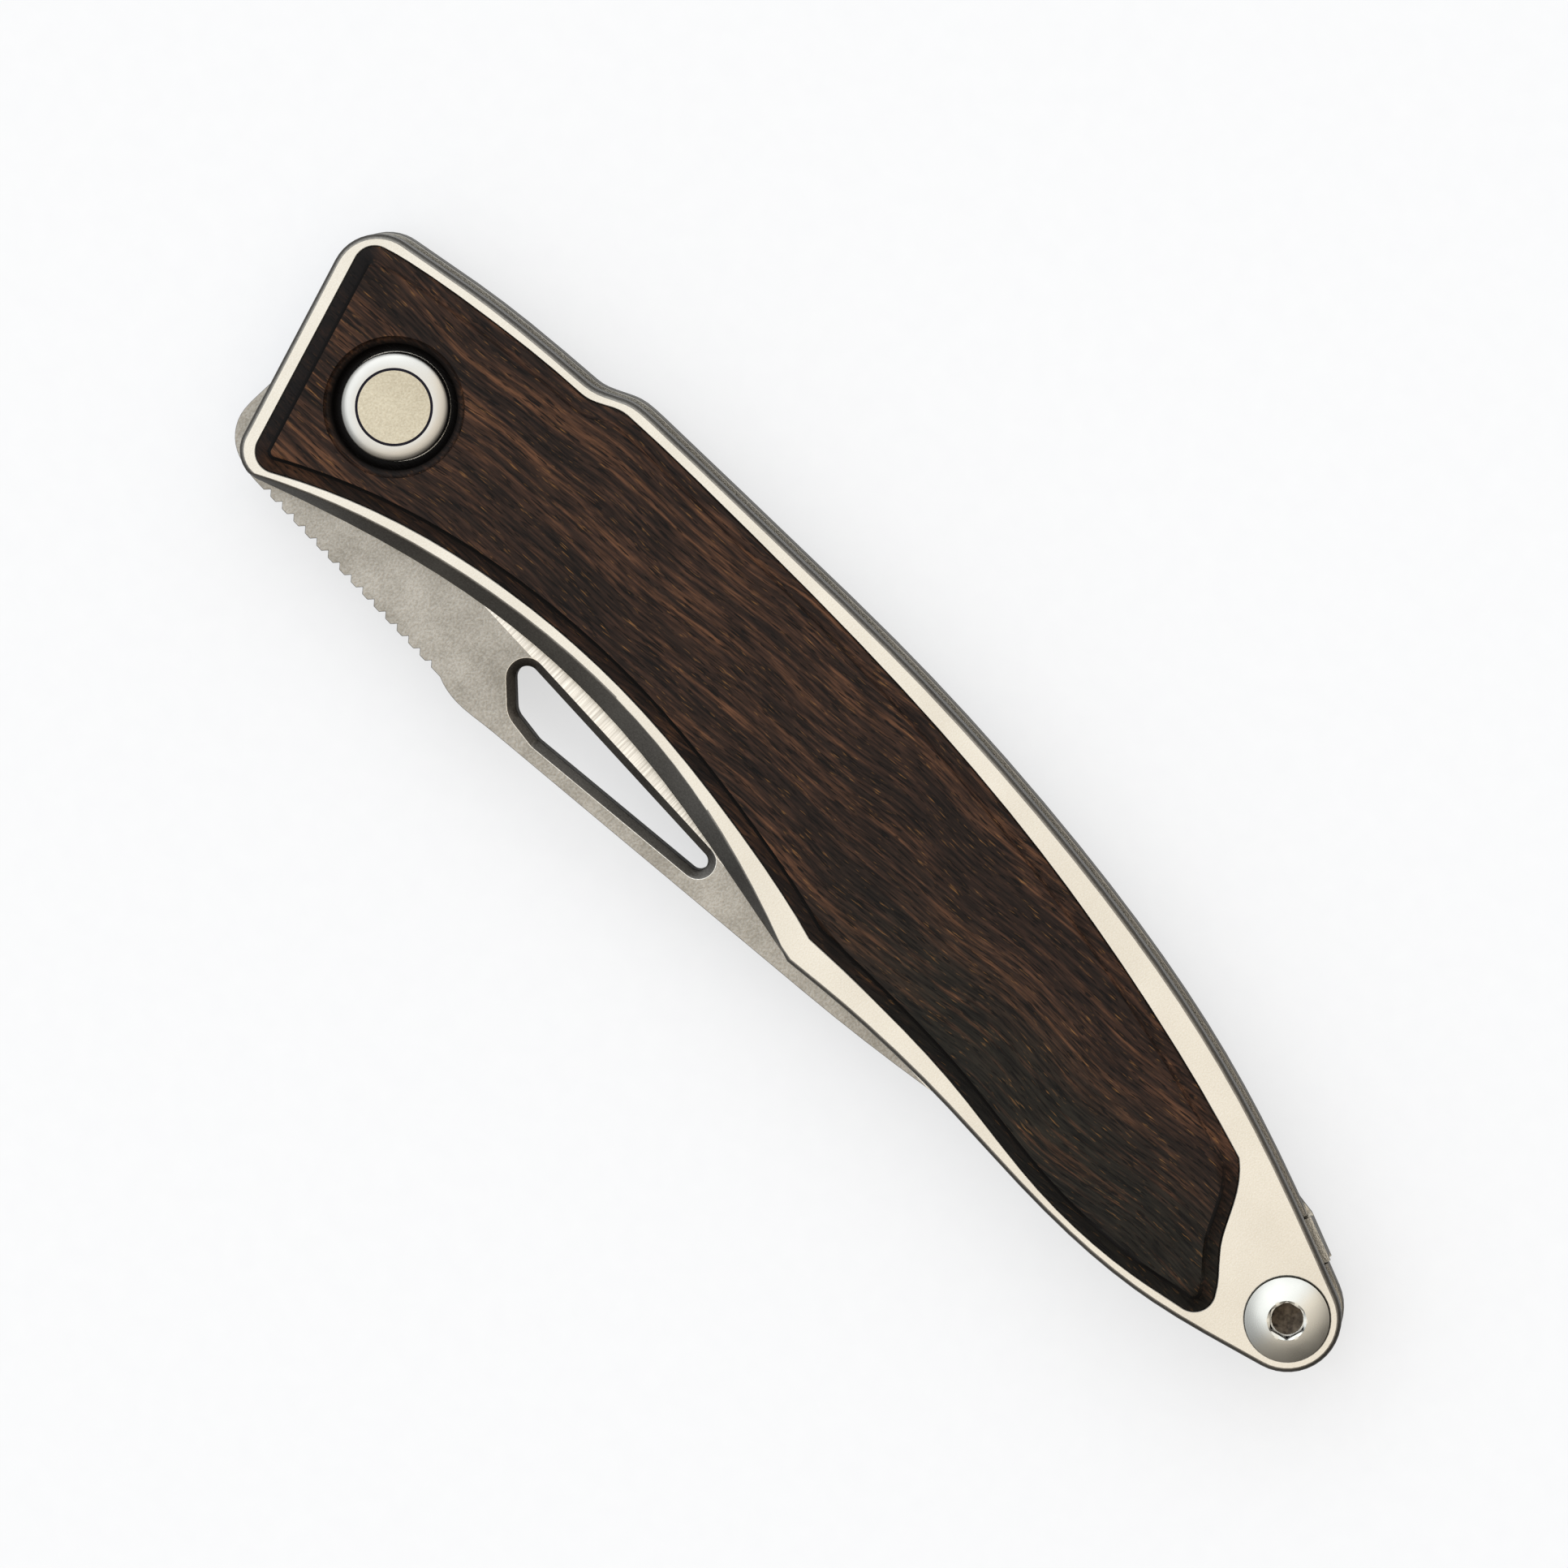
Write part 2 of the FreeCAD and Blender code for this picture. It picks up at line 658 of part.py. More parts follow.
def clip_arm():
    """The long arm, bent clear of the handle and back to it, with an upturned end."""
    low = back_outer - clip_thickness
    far = tail_x - clip_length
    bends = [(tail_x + 6, low), (tail_x - 3.9, low), (tail_x - 9.5, 0.0), (far + 5.2, clip_lift),
             (far + 2.2, clip_lift), (far, 0.0)]
    lower = [point(x, -20, z) for x, z in bends]
    upper = [point(x, -20, z + clip_thickness) for x, z in reversed(bends)]
    strip = Part.Face(Part.makePolygon(lower + upper + lower[:1])).extrude(point(0, 40, 0))
    fold_x = [x for x, _ in bends[1:-1]]
    creases = [e for e in strip.Edges if e.BoundBox.YLength > 30]
    folds = [e for e in creases if any(abs(e.BoundBox.XMin - x) < 0.01 for x in fold_x)]
    return strip.makeFillet(clip_bend, folds).common(clip_plan())


def clip_plan():
    """The arm's outline from above: a straight strip that narrows to the web at the tail."""
    far = tail_x - clip_length
    foot = clip_web_width / 2
    low_y, high_y = clip_y - clip_width / 2, clip_y + clip_width / 2
    on_web = [(foot, -1.2), (foot, clip_web_out), (-foot, clip_web_out)]
    web_corners = [on_tail_edge(Part.Vertex(x, y, 0), 0).Point for x, y in on_web]
    throat = point(tail_x - tail_head_radius - 1.6, low_y + 0.4)
    plan = polygon([point(far, low_y), point(throat.x - 6, low_y), throat] + web_corners
                   + [point(tail_x - 9, high_y), point(far, high_y)], -1, back_outer + 1)
    ends = upright_edges(plan, [point(far, low_y), point(far, high_y)])
    return plan.makeFillet(clip_width / 2 - 0.3, ends)


def pocket_clip():
    """A spring strip: an eye and tongue between the slabs, a web round the edge and a long arm."""
    low = back_outer - clip_thickness
    web = Part.makeBox(clip_web_width, clip_thickness, slab_thickness + 2 * clip_thickness,
                       point(-clip_web_width / 2, clip_web_out - clip_thickness, 0))
    outer = [e for e in web.Edges if e.BoundBox.ZLength > 1 and abs(e.BoundBox.YMin - clip_web_out) < 1e-5]
    web = on_tail_edge(web.makeFillet(clip_web_round, outer), low)
    tongue = Part.makeBox(clip_web_width, clip_reach, clip_thickness,
                          point(-clip_web_width / 2, clip_web_out - clip_reach, 0))
    eye = disc(spacer_radius + clip_rim, back_inner, back_inner + clip_thickness, tail_x)
    tongue = on_tail_edge(tongue, back_inner).fuse(eye)
    tongue = tongue.cut(disc(spacer_radius + clip_fit, back_inner - 1, back_inner + 2, tail_x))
    return clip_arm().fuse(web).fuse(tongue).removeSplitter()


NODES = {
    "front_frame": front_frame,
    "back_frame": back_frame,
    "lock_bar": lock_bar,
    "detent_ball": detent_ball,
    "front_inlay": front_inlay,
    "back_inlay": back_inlay,
    "blade": blade,
    "front_washer": lambda: washer(blade_high),
    "back_washer": lambda: washer(back_inner),
    "pivot_bushing": pivot_bushing,
    "pivot_cap": pivot_cap,
    "pivot_screw": pivot_screw,
    "stop_pin": stop_pin,
    "tail_spacer": tail_spacer,
    "tail_screw_front": tail_screw_front,
    "tail_screw_back": tail_screw_back,
    "pocket_clip": pocket_clip,
}

if __name__ == "__main__":
    os.makedirs("parts", exist_ok=True)
    for name, make in NODES.items():
        shape = make()
        print(f"{name:18s} valid {shape.isValid()}  solids {len(shape.Solids)}  {shape.Volume:8.2f} mm3")
        shape.exportStep(f"parts/{name}.step")
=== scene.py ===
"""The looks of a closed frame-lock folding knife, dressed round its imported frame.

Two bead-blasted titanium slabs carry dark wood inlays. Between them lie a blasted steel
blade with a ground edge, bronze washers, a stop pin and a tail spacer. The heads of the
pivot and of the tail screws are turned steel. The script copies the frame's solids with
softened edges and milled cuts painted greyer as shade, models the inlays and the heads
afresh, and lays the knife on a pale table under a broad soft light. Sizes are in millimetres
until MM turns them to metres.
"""

import logging
import math
from dataclasses import dataclass
from enum import Enum
from typing import Any, Iterable, Sequence

import bmesh
import bpy
from mathutils import Matrix, Vector


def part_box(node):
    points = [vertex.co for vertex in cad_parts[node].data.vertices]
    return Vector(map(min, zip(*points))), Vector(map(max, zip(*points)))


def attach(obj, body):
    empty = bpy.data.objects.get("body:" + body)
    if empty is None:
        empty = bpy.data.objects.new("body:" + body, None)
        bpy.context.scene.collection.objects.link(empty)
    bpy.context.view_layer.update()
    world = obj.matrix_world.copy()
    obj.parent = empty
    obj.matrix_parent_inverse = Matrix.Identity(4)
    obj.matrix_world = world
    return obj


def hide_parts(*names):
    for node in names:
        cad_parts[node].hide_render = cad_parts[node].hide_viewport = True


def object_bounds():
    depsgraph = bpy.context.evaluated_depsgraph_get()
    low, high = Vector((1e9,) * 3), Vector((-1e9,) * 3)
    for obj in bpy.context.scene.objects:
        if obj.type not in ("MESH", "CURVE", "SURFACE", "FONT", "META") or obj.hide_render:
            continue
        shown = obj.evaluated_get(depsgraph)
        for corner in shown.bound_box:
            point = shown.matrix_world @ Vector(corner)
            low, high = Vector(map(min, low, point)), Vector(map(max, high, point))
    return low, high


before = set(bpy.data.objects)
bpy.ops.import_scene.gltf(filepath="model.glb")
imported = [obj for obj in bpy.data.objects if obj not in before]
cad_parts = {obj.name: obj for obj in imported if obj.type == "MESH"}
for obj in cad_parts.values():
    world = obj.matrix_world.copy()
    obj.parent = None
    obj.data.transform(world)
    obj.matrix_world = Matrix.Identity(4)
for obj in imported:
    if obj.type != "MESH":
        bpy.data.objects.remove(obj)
CAD_BOX = [list(corner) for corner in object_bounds()]

MM = 0.001
# Points closer than MERGE are one point, and points within LEVEL_SLACK of a height lie on it.
MERGE = 0.0005 * MM
LEVEL_SLACK = 0.005 * MM
# Faces that differ by less than PLANAR_ANGLE are one face, and an edge that turns by more than
# SHARP_ANGLE is a sharp one, both in degrees.
PLANAR_ANGLE = 0.2
SHARP_ANGLE = 28.0
# The Z part of a level face's normal is over LEVEL_RISE, and an upright one's under UPRIGHT_RISE.
LEVEL_RISE = 0.99
UPRIGHT_RISE = 0.01
ROUND_STEPS = 96
ARC_STEPS = 14
HEX_SIDES = 6
# The mesh layer that says how much painted shade each face of an inlay takes.
PAINT_SHADE_LAYER = "paint_shade"
log = logging.getLogger("folding_knife")


class Body(Enum):
    """The rigid bodies of the frame that a piece can ride on."""

    HANDLE = "handle"
    BLADE = "blade"
    LOCK = "lock"


class Side(Enum):
    """The two outer sides of the knife, as the Z direction that each faces."""

    SHOW = 1.0
    LOCK = -1.0


def middle_of(node: str) -> Vector:
    """The middle of a frame node's box, in metres."""
    low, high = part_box(node)
    return (low + high) / 2


def half_width(node: str) -> float:
    """Half of a frame node's extent along X, in metres."""
    low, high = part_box(node)
    return (high.x - low.x) / 2


# ---- shader helpers ----
def linear(hex_colour: str) -> tuple[float, float, float, float]:
    """Turn an sRGB colour into a linear one.

    Args:
        hex_colour: The colour as "#rrggbb".

    Returns:
        Its linear red, green and blue, and an alpha of one.
    """
    channels = [int(hex_colour[start:start + 2], 16) / 255 for start in (1, 3, 5)]
    red, green, blue = [c / 12.92 if c <= 0.04045 else ((c + 0.055) / 1.055) ** 2.4 for c in channels]
    return red, green, blue, 1.0


def add(tree: bpy.types.NodeTree, kind: str, inputs: dict[Any, Any] | None = None,
        stops: Sequence[tuple[float, Sequence[float]]] = (), **settings: Any) -> bpy.types.Node:
    """Add a shader node with its settings and links.

    Args:
        tree: The node tree that it goes into.
        kind: The node's type, without the ShaderNode prefix.
        inputs: What goes into its sockets, by name or number: a value or another node's output.
        stops: The positions and colours of a colour ramp.
        settings: The node's own properties.

    Returns:
        The new node.
    """
    node = tree.nodes.new("ShaderNode" + kind)
    for name, value in settings.items():
        setattr(node, name, value)
    for key, value in (inputs or {}).items():
        if isinstance(value, bpy.types.NodeSocket):
            tree.links.new(value, node.inputs[key])
        else:
            node.inputs[key].default_value = value
    for index, (position, colour) in enumerate(stops):
        elements = node.color_ramp.elements
        element = elements[index] if index < len(elements) else elements.new(position)
        element.position = position
        element.color = colour
    return node


def per_mm(*spacings: float) -> Any:
    """The scale that gives a pattern its spacing in millimetres: one number, or one for each axis."""
    scales = [1.0 / (spacing * MM) for spacing in spacings]
    return scales if len(scales) > 1 else scales[0]


def new_material(name: str) -> tuple[bpy.types.Material, bpy.types.NodeTree, bpy.types.NodeSocket]:
    """Start a material.

    Args:
        name: What the material is called.

    Returns:
        The material, its empty node tree and the Object coordinates in it.
    """
    material = bpy.data.materials.new(name)
    material.use_nodes = True
    tree = material.node_tree
    tree.nodes.clear()
    place = add(tree, "TexCoord").outputs["Object"]
    return material, tree, place


def finish_material(tree: bpy.types.NodeTree, inputs: dict[str, Any]) -> None:
    """End a node tree with a Principled shader that takes the given inputs."""
    shader = add(tree, "BsdfPrincipled", inputs)
    add(tree, "OutputMaterial", {"Surface": shader.outputs["BSDF"]})


# ---- finishes ----
@dataclass(frozen=True)
class Finish:
    """A material's name and the kind of stuff that its pieces are made of."""

    name: str
    slot: str

    def build(self) -> bpy.types.Material:
        """Make the material, which each kind of finish does in its own way."""
        raise NotImplementedError(self.name)


@dataclass(frozen=True)
class BlastedMetal(Finish):
    """Sheet metal blasted with glass beads: an even satin grey with a fine sparkle.

    Bead marks are about 0.05 mm across, which is too fine to show, so the grit is drawn
    two or three times as coarse.
    """

    colour: str
    shade: str
    roughness: float
    grit: float = 0.11
    cloud: float = 5.0
    depth: float = 0.006
    tone_range: tuple[float, float] = (0.7, 1.3)
    gloss_spread: float = 0.12

    def build(self) -> bpy.types.Material:
        """Make the material: cloudy colour, uneven gloss and the bead marks as bump.

        Returns:
            The material.
        """
        material, tree, place = new_material(self.name)
        clouds = add(tree, "TexNoise", {"Vector": place, "Scale": per_mm(self.cloud), "Detail": 3.0})
        grit = add(tree, "TexNoise", {"Vector": place, "Scale": per_mm(self.grit), "Detail": 2.0})
        mixed = add(tree, "Math", {0: clouds.outputs["Fac"], 1: grit.outputs["Fac"]}, operation="ADD")
        tone = add(tree, "MapRange", {"Value": mixed.outputs[0], "From Min": self.tone_range[0],
                                      "From Max": self.tone_range[1]})
        colour = add(tree, "ValToRGB", {"Fac": tone.outputs["Result"]},
                     stops=((0.0, linear(self.shade)), (1.0, linear(self.colour))))
        gloss = add(tree, "MapRange", {"Value": grit.outputs["Fac"],
                                       "To Min": self.roughness * (1.0 - self.gloss_spread),
                                       "To Max": self.roughness * (1.0 + self.gloss_spread)})
        bump = add(tree, "Bump", {"Height": grit.outputs["Fac"], "Distance": self.depth * MM,
                                  "Strength": 1.0})
        finish_material(tree, {"Base Color": colour.outputs["Color"], "Metallic": 1.0,
                               "Roughness": gloss.outputs["Result"], "Normal": bump.outputs["Normal"]})
        return material


@dataclass(frozen=True)
class GroundSteel(Finish):
    """Steel straight off a grinding wheel: bright, with fine lines across the edge.

    The wheel's lines are about 0.05 mm apart and are drawn three times as far apart.
    """

    colour: str
    shade: str
    roughness: float = 0.25
    line: float = 0.14
    line_length: float = 6.0
    depth: float = 0.0035
    tone_range: tuple[float, float] = (0.35, 0.65)

    def build(self) -> bpy.types.Material:
        """Make the material: lines run along Y, so they are short in X and long in Y.

        Returns:
            The material.
        """
        material, tree, place = new_material(self.name)
        drawn = add(tree, "Mapping", {"Vector": place, "Scale": per_mm(self.line, self.line_length,
                                                                       self.line_length)})
        lines = add(tree, "TexNoise", {"Vector": drawn.outputs["Vector"], "Scale": 1.0, "Detail": 4.0})
        tone = add(tree, "MapRange", {"Value": lines.outputs["Fac"], "From Min": self.tone_range[0],
                                      "From Max": self.tone_range[1]})
        colour = add(tree, "ValToRGB", {"Fac": tone.outputs["Result"]},
                     stops=((0.0, linear(self.shade)), (1.0, linear(self.colour))))
        bump = add(tree, "Bump", {"Height": lines.outputs["Fac"], "Distance": self.depth * MM,
                                  "Strength": 1.0})
        finish_material(tree, {"Base Color": colour.outputs["Color"], "Metallic": 1.0,
                               "Roughness": self.roughness, "Normal": bump.outputs["Normal"]})
        return material


@dataclass(frozen=True)
class TurnedMetal(Finish):
    """Metal turned on a lathe and buffed: satin, with faint rings round its axis.

    The tool's rings are under 0.03 mm apart and are drawn at 0.07 mm.
    """

    colour: str
    roughness: float
    axis_x: float = 0.0
    ring: float = 0.07
    depth: float = 0.0012
    smudge: float = 1.4
    smudge_range: tuple[float, float] = (0.3, 0.7)
    gloss_range: tuple[float, float] = (0.85, 1.2)

    def build(self) -> bpy.types.Material:
        """Make the material, with its rings about an upright axis at axis_x.

        Returns:
            The material.
        """
        material, tree, place = new_material(self.name)
        centred = add(tree, "Mapping", {"Vector": place, "Location": (-self.axis_x * MM, 0.0, 0.0),
                                        "Scale": (1.0, 1.0, 0.0)})
        radius = add(tree, "VectorMath", {0: centred.outputs["Vector"]}, operation="LENGTH")
        rings = add(tree, "TexNoise", {"W": radius.outputs["Value"], "Scale": per_mm(self.ring),
                                       "Detail": 2.0}, noise_dimensions="1D")
        smudge = add(tree, "TexNoise", {"Vector": place, "Scale": per_mm(self.smudge), "Detail": 4.0})
        gloss = add(tree, "MapRange", {"Value": smudge.outputs["Fac"],
                                       "From Min": self.smudge_range[0], "From Max": self.smudge_range[1],
                                       "To Min": self.roughness * self.gloss_range[0],
                                       "To Max": self.roughness * self.gloss_range[1]})
        bump = add(tree, "Bump", {"Height": rings.outputs["Fac"], "Distance": self.depth * MM,
                                  "Strength": 1.0})
        finish_material(tree, {"Base Color": linear(self.colour), "Metallic": 1.0,
                               "Roughness": gloss.outputs["Result"], "Normal": bump.outputs["Normal"]})
        return material


@dataclass(frozen=True)
class GrainLayer:
    """A layer of the wood's figure: noise whose spacing is along, across and through the grain."""

    spacing: tuple[float, float, float]
    detail: float

    def build(self, tree: bpy.types.NodeTree, grain: bpy.types.NodeSocket) -> bpy.types.NodeSocket:
        """Draw the layer's noise.

        Args:
            tree: The node tree that it goes into.
            grain: Coordinates whose X runs along the grain.

        Returns:
            The noise.
        """
        drawn = add(tree, "Mapping", {"Vector": grain, "Scale": per_mm(*self.spacing)})
        noise = add(tree, "TexNoise", {"Vector": drawn.outputs["Vector"], "Scale": 1.0,
                                       "Detail": self.detail, "Roughness": 0.6})
        return noise.outputs["Fac"]


@dataclass(frozen=True)
class OiledWood(Finish):
    """Dense dark heartwood, sanded and oiled: a near-black brown with fine red-brown streaks.

    Open pores are short black lines and a few fibres catch the light as golden flecks. The
    pores are about 0.08 mm wide and are drawn nearly twice as wide. The bevel and the walls
    are painted nearly black as shade, by a mesh layer, except on faces that look towards the
    spine, where the light falls. Towards the tail and the belly the heart turns greenish black.

    A range of three numbers says which noise shows nothing, which shows all, and how strongly.
    """

    ground: str = "#1a110c"
    body: str = "#2b1c14"
    streak: str = "#493020"
    fleck: str = "#a37440"
    pore: str = "#060403"
    dark_zone: str = "#171510"
    # The near-black colour of the painted shade on the inlays' bevels, walls and hole.
    painted_shade_colour: str = "#080605"
    slant: float = 5.0
    sway_spacing: float = 14.0
    sway: tuple[float, float, float] = (0.0, 2.2, 1.0)
    bands: GrainLayer = GrainLayer((26.0, 2.4, 2.4), 4.0)
    streaks: GrainLayer = GrainLayer((6.0, 0.36, 0.36), 5.0)
    fibres: GrainLayer = GrainLayer((2.4, 0.17, 0.17), 4.0)
    pores: GrainLayer = GrainLayer((1.3, 0.14, 0.14), 1.0)
    flecks: GrainLayer = GrainLayer((1.3, 0.13, 0.13), 2.0)
    streak_range: tuple[float, float] = (0.76, 1.27)
    streak_stops: tuple[float, float, float] = (0.22, 0.52, 0.86)
    fibre_range: tuple[float, float] = (0.36, 0.64)
    fibre_tone: tuple[float, float] = (0.3, 1.8)
    pore_range: tuple[float, float, float] = (0.38, 0.31, 0.9)
    fleck_range: tuple[float, float, float] = (0.63, 0.78, 0.45)
    zone_x: tuple[float, float] = (38.0, 50.0)
    zone_y: tuple[float, float] = (4.0, -1.0)
    zone_range: tuple[float, float, float] = (0.76, 0.54, 0.95)
    roughness: float = 0.5
    depth: float = 0.012

    def build(self) -> bpy.types.Material:
        """Make the material: everything is drawn out along the grain, which runs close to X.

        Returns:
            The material.
        """
        material, tree, place = new_material(self.name)
        aligned = add(tree, "Mapping", {"Vector": place, "Rotation": (0, 0, -math.radians(self.slant))})
        grain = self.waver(tree, aligned.outputs["Vector"])
        bands, streaks, fibres, pores, flecks = [
            layer.build(tree, grain)
            for layer in (self.bands, self.streaks, self.fibres, self.pores, self.flecks)]
        mixed = add(tree, "Math", {0: bands, 1: streaks}, operation="ADD")
        streaky = add(tree, "MapRange", {"Value": mixed.outputs[0], "From Min": self.streak_range[0],
                                         "From Max": self.streak_range[1]})
        colours = [linear(colour) for colour in (self.ground, self.body, self.streak)]
        ground = add(tree, "ValToRGB", {"Fac": streaky.outputs["Result"]},
                     stops=list(zip(self.streak_stops, colours)))
        zoned = add(tree, "Mix", {0: self.zone(tree, place, streaks), 6: ground.outputs["Color"],
                                  7: linear(self.dark_zone)}, data_type="RGBA")
        tone = add(tree, "MapRange", {"Value": fibres, "From Min": self.fibre_range[0],
                                      "From Max": self.fibre_range[1], "To Min": self.fibre_tone[0],
                                      "To Max": self.fibre_tone[1]})
        toned = add(tree, "VectorMath", {0: zoned.outputs[2], "Scale": tone.outputs["Result"]},
                    operation="SCALE")
        golden, hollow = [
            add(tree, "MapRange", {"Value": noise, "From Min": none, "From Max": full,
                                   "To Max": strength}).outputs["Result"]
            for noise, (none, full, strength) in ((flecks, self.fleck_range), (pores, self.pore_range))]
        # How much painted shade a face takes, from the mesh layer.
        shade_share = add(tree, "Attribute", attribute_name=PAINT_SHADE_LAYER).outputs["Fac"]
        coloured = toned.outputs["Vector"]
        for mask, over in ((golden, self.fleck), (hollow, self.pore), (shade_share, self.painted_shade_colour)):
            laid = add(tree, "Mix", {0: mask, 6: coloured, 7: linear(over)}, data_type="RGBA")
            coloured = laid.outputs[2]
        height = add(tree, "Math", {0: fibres, 1: hollow}, operation="SUBTRACT")
        bump = add(tree, "Bump", {"Height": height.outputs[0], "Distance": self.depth * MM,
                                  "Strength": 1.0})
        finish_material(tree, {"Base Color": coloured, "Roughness": self.roughness,
                               "Specular IOR Level": 0.1, "IOR": 1.5, "Normal": bump.outputs["Normal"]})
        return material

    def waver(self, tree: bpy.types.NodeTree, place: bpy.types.NodeSocket) -> bpy.types.NodeSocket:
        """Make the coordinates sway gently across the grain.

        Args:
            tree: The node tree.
            place: Coordinates whose X runs along the grain.

        Returns:
            The same coordinates, swayed.
        """
        drift = add(tree, "TexNoise", {"Vector": place, "Scale": per_mm(self.sway_spacing), "Detail": 1.0})
        sway = add(tree, "VectorMath", {0: drift.outputs["Color"], 1: [shift * MM for shift in self.sway]},
                   operation="MULTIPLY")
        swayed = add(tree, "VectorMath", {0: place, 1: sway.outputs["Vector"]}, operation="ADD")
        return swayed.outputs["Vector"]

    def zone(self, tree: bpy.types.NodeTree, place: bpy.types.NodeSocket,
             streaks: bpy.types.NodeSocket) -> bpy.types.NodeSocket:
        """Mask the greenish-black heart near the belly, towards the tail.

        Args:
            tree: The node tree.
            place: The Object coordinates.
            streaks: The noise of the streaks, which breaks up the zone's edge.

        Returns:
            The mask.
        """
        axes = add(tree, "SeparateXYZ", {"Vector": place})
        along, down, uneven = [
            add(tree, "MapRange", {"Value": value, "From Min": none, "From Max": full,
                                   "To Max": strength}).outputs["Result"]
            for value, none, full, strength in (
                (axes.outputs["X"], self.zone_x[0] * MM, self.zone_x[1] * MM, 1.0),
                (axes.outputs["Y"], self.zone_y[0] * MM, self.zone_y[1] * MM, 1.0),
                (streaks, *self.zone_range))]
        both = add(tree, "Math", {0: along, 1: down}, operation="MULTIPLY")
        return add(tree, "Math", {0: both.outputs[0], 1: uneven}, operation="MULTIPLY").outputs[0]


TAIL_X = middle_of("tail_spacer").x / MM


@dataclass(frozen=True)
class Palette:
    """Every finish on the knife."""

    # Bead-blasted titanium: a pale, slightly warm grey that is satin all over.
    titanium: BlastedMetal = BlastedMetal("blasted_titanium", "titanium", "#b7b3a9", "#aca79c", 0.25)
    # Milled titanium: the chamfers and the scallop, duller than the blasted faces and painted darker as
    # shade.
    titanium_cut_shade: BlastedMetal = BlastedMetal("milled_titanium_shade", "titanium", "#7b7872", "#625f5a", 0.34)
    # Bead-blasted blade steel: a mid grey with coarser grit and cloudier patches.
    blade_flat: BlastedMetal = BlastedMetal("blasted_blade_steel", "blade_steel", "#928e86", "#726e66",
                                            0.32, grit=0.15, cloud=3.0, depth=0.02)
    # Milled blade steel: a rim round the blade and its opening, painted dark grey as shade.
    steel_cut_shade: BlastedMetal = BlastedMetal("milled_blade_steel_shade", "blade_steel", "#706d68", "#575450",
                                           0.34)
    # Ground blade steel: a bright band with the wheel's fine lines across it.
    blade_grind: GroundSteel = GroundSteel("ground_blade_steel", "blade_steel", "#c8c4bb", "#a29d94")
    # Buffed stainless steel: a bright ring whose dome catches the light on one side.
    pivot_head: TurnedMetal = TurnedMetal("buffed_pivot_steel", "screw_steel", "#a8a6a0", 0.26)
    # The same steel a little brighter, with its rings about the tail screws' axis.
    tail_head: TurnedMetal = TurnedMetal("buffed_screw_steel", "screw_steel", "#b0afa8", 0.27,
                                         axis_x=TAIL_X)
    # Blasted stainless steel: the cap's sandy, faintly golden middle.
    cap_centre: BlastedMetal = BlastedMetal("blasted_cap_steel", "screw_steel", "#aea794", "#948c7a",
                                            0.34, grit=0.13, depth=0.012)
    # Steel painted near black as shade: the thin groove that sets the middle off from the dome, and the
    # cap's sides.
    groove_shade: TurnedMetal = TurnedMetal("painted_groove_shade", "screw_steel", "#1b1a20", 0.4)
    # Broached steel painted a dark, blotchy brown as the shade in the socket's hollow.
    socket: BlastedMetal = BlastedMetal("socket_painted_shade", "screw_steel", "#4c443a", "#1f1b17", 0.4,
                                        grit=0.3, cloud=0.7)
    # Hardened steel, ground: the plain grey of pins and balls.
    hard: TurnedMetal = TurnedMetal("ground_hard_steel", "hard_steel", "#8f8f8d", 0.22)
    # Phosphor bronze: a brown-gold line between the tang and the slabs.
    bronze: TurnedMetal = TurnedMetal("phosphor_bronze", "bronze", "#a5773f", 0.3)
    # Dark heartwood, sanded and oiled: a near-black brown, with streaks along the handle.
    wood: OiledWood = OiledWood("oiled_dark_wood", "dark_wood")


PALETTE = Palette()
made: dict[str, bpy.types.Material] = {}


def material_of(finish: Finish) -> bpy.types.Material:
    """Look up the material of a finish, and build it the first time that it is asked for.

    Args:
        finish: The finish.

    Returns:
        Its material.
    """
    if finish.name not in made:
        made[finish.name] = finish.build()
    return made[finish.name]


# ---- mesh helpers ----
def cad_copy(node: str) -> bmesh.types.BMesh:
    """Copy a frame node's mesh and join up its triangles.

    Args:
        node: The frame node.

    Returns:
        The copy.
    """
    mesh = bmesh.new()
    mesh.from_mesh(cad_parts[node].data)
    bmesh.ops.remove_doubles(mesh, verts=mesh.verts, dist=MERGE)
    mesh.normal_update()
    return mesh


def soften(mesh: bmesh.types.BMesh, width: float, until: float = math.inf) -> None:
    """Join flat triangles into whole faces and round every sharp edge a little.

    Args:
        mesh: The mesh to change.
        width: How far the rounding reaches from an edge, in millimetres.
        until: Edges past this X stay sharp, in metres.
    """
    bmesh.ops.dissolve_limit(mesh, angle_limit=math.radians(PLANAR_ANGLE), verts=mesh.verts,
                             edges=mesh.edges)
    sharp = [e for e in mesh.edges
             if e.is_manifold and e.calc_face_angle(0.0) > math.radians(SHARP_ANGLE)
             and max(vertex.co.x for vertex in e.verts) < until]
    bmesh.ops.bevel(mesh, geom=sharp, offset=width * MM, offset_type="OFFSET", affect="EDGES",
                    segments=2, profile=0.5, material=-1, clamp_overlap=False)


def loops_of(edges: Iterable[bmesh.types.BMEdge]) -> list[list[bmesh.types.BMEdge]]:
    """Sort edges into the separate loops that they make.

    Args:
        edges: The edges, in any order.

    Returns:
        The loops, each a list of its edges.
    """
    remaining = set(edges)
    loops = []
    while remaining:
        waiting = [remaining.pop()]
        loop = []
        while waiting:
            edge = waiting.pop()
            loop.append(edge)
            joined = {e for vertex in edge.verts for e in vertex.link_edges if e in remaining}
            remaining -= joined
            waiting.extend(joined)
        loops.append(loop)
    return loops


def length_of(loop: Iterable[bmesh.types.BMEdge]) -> float:
    """The length round a loop of edges."""
    return sum(edge.calc_length() for edge in loop)


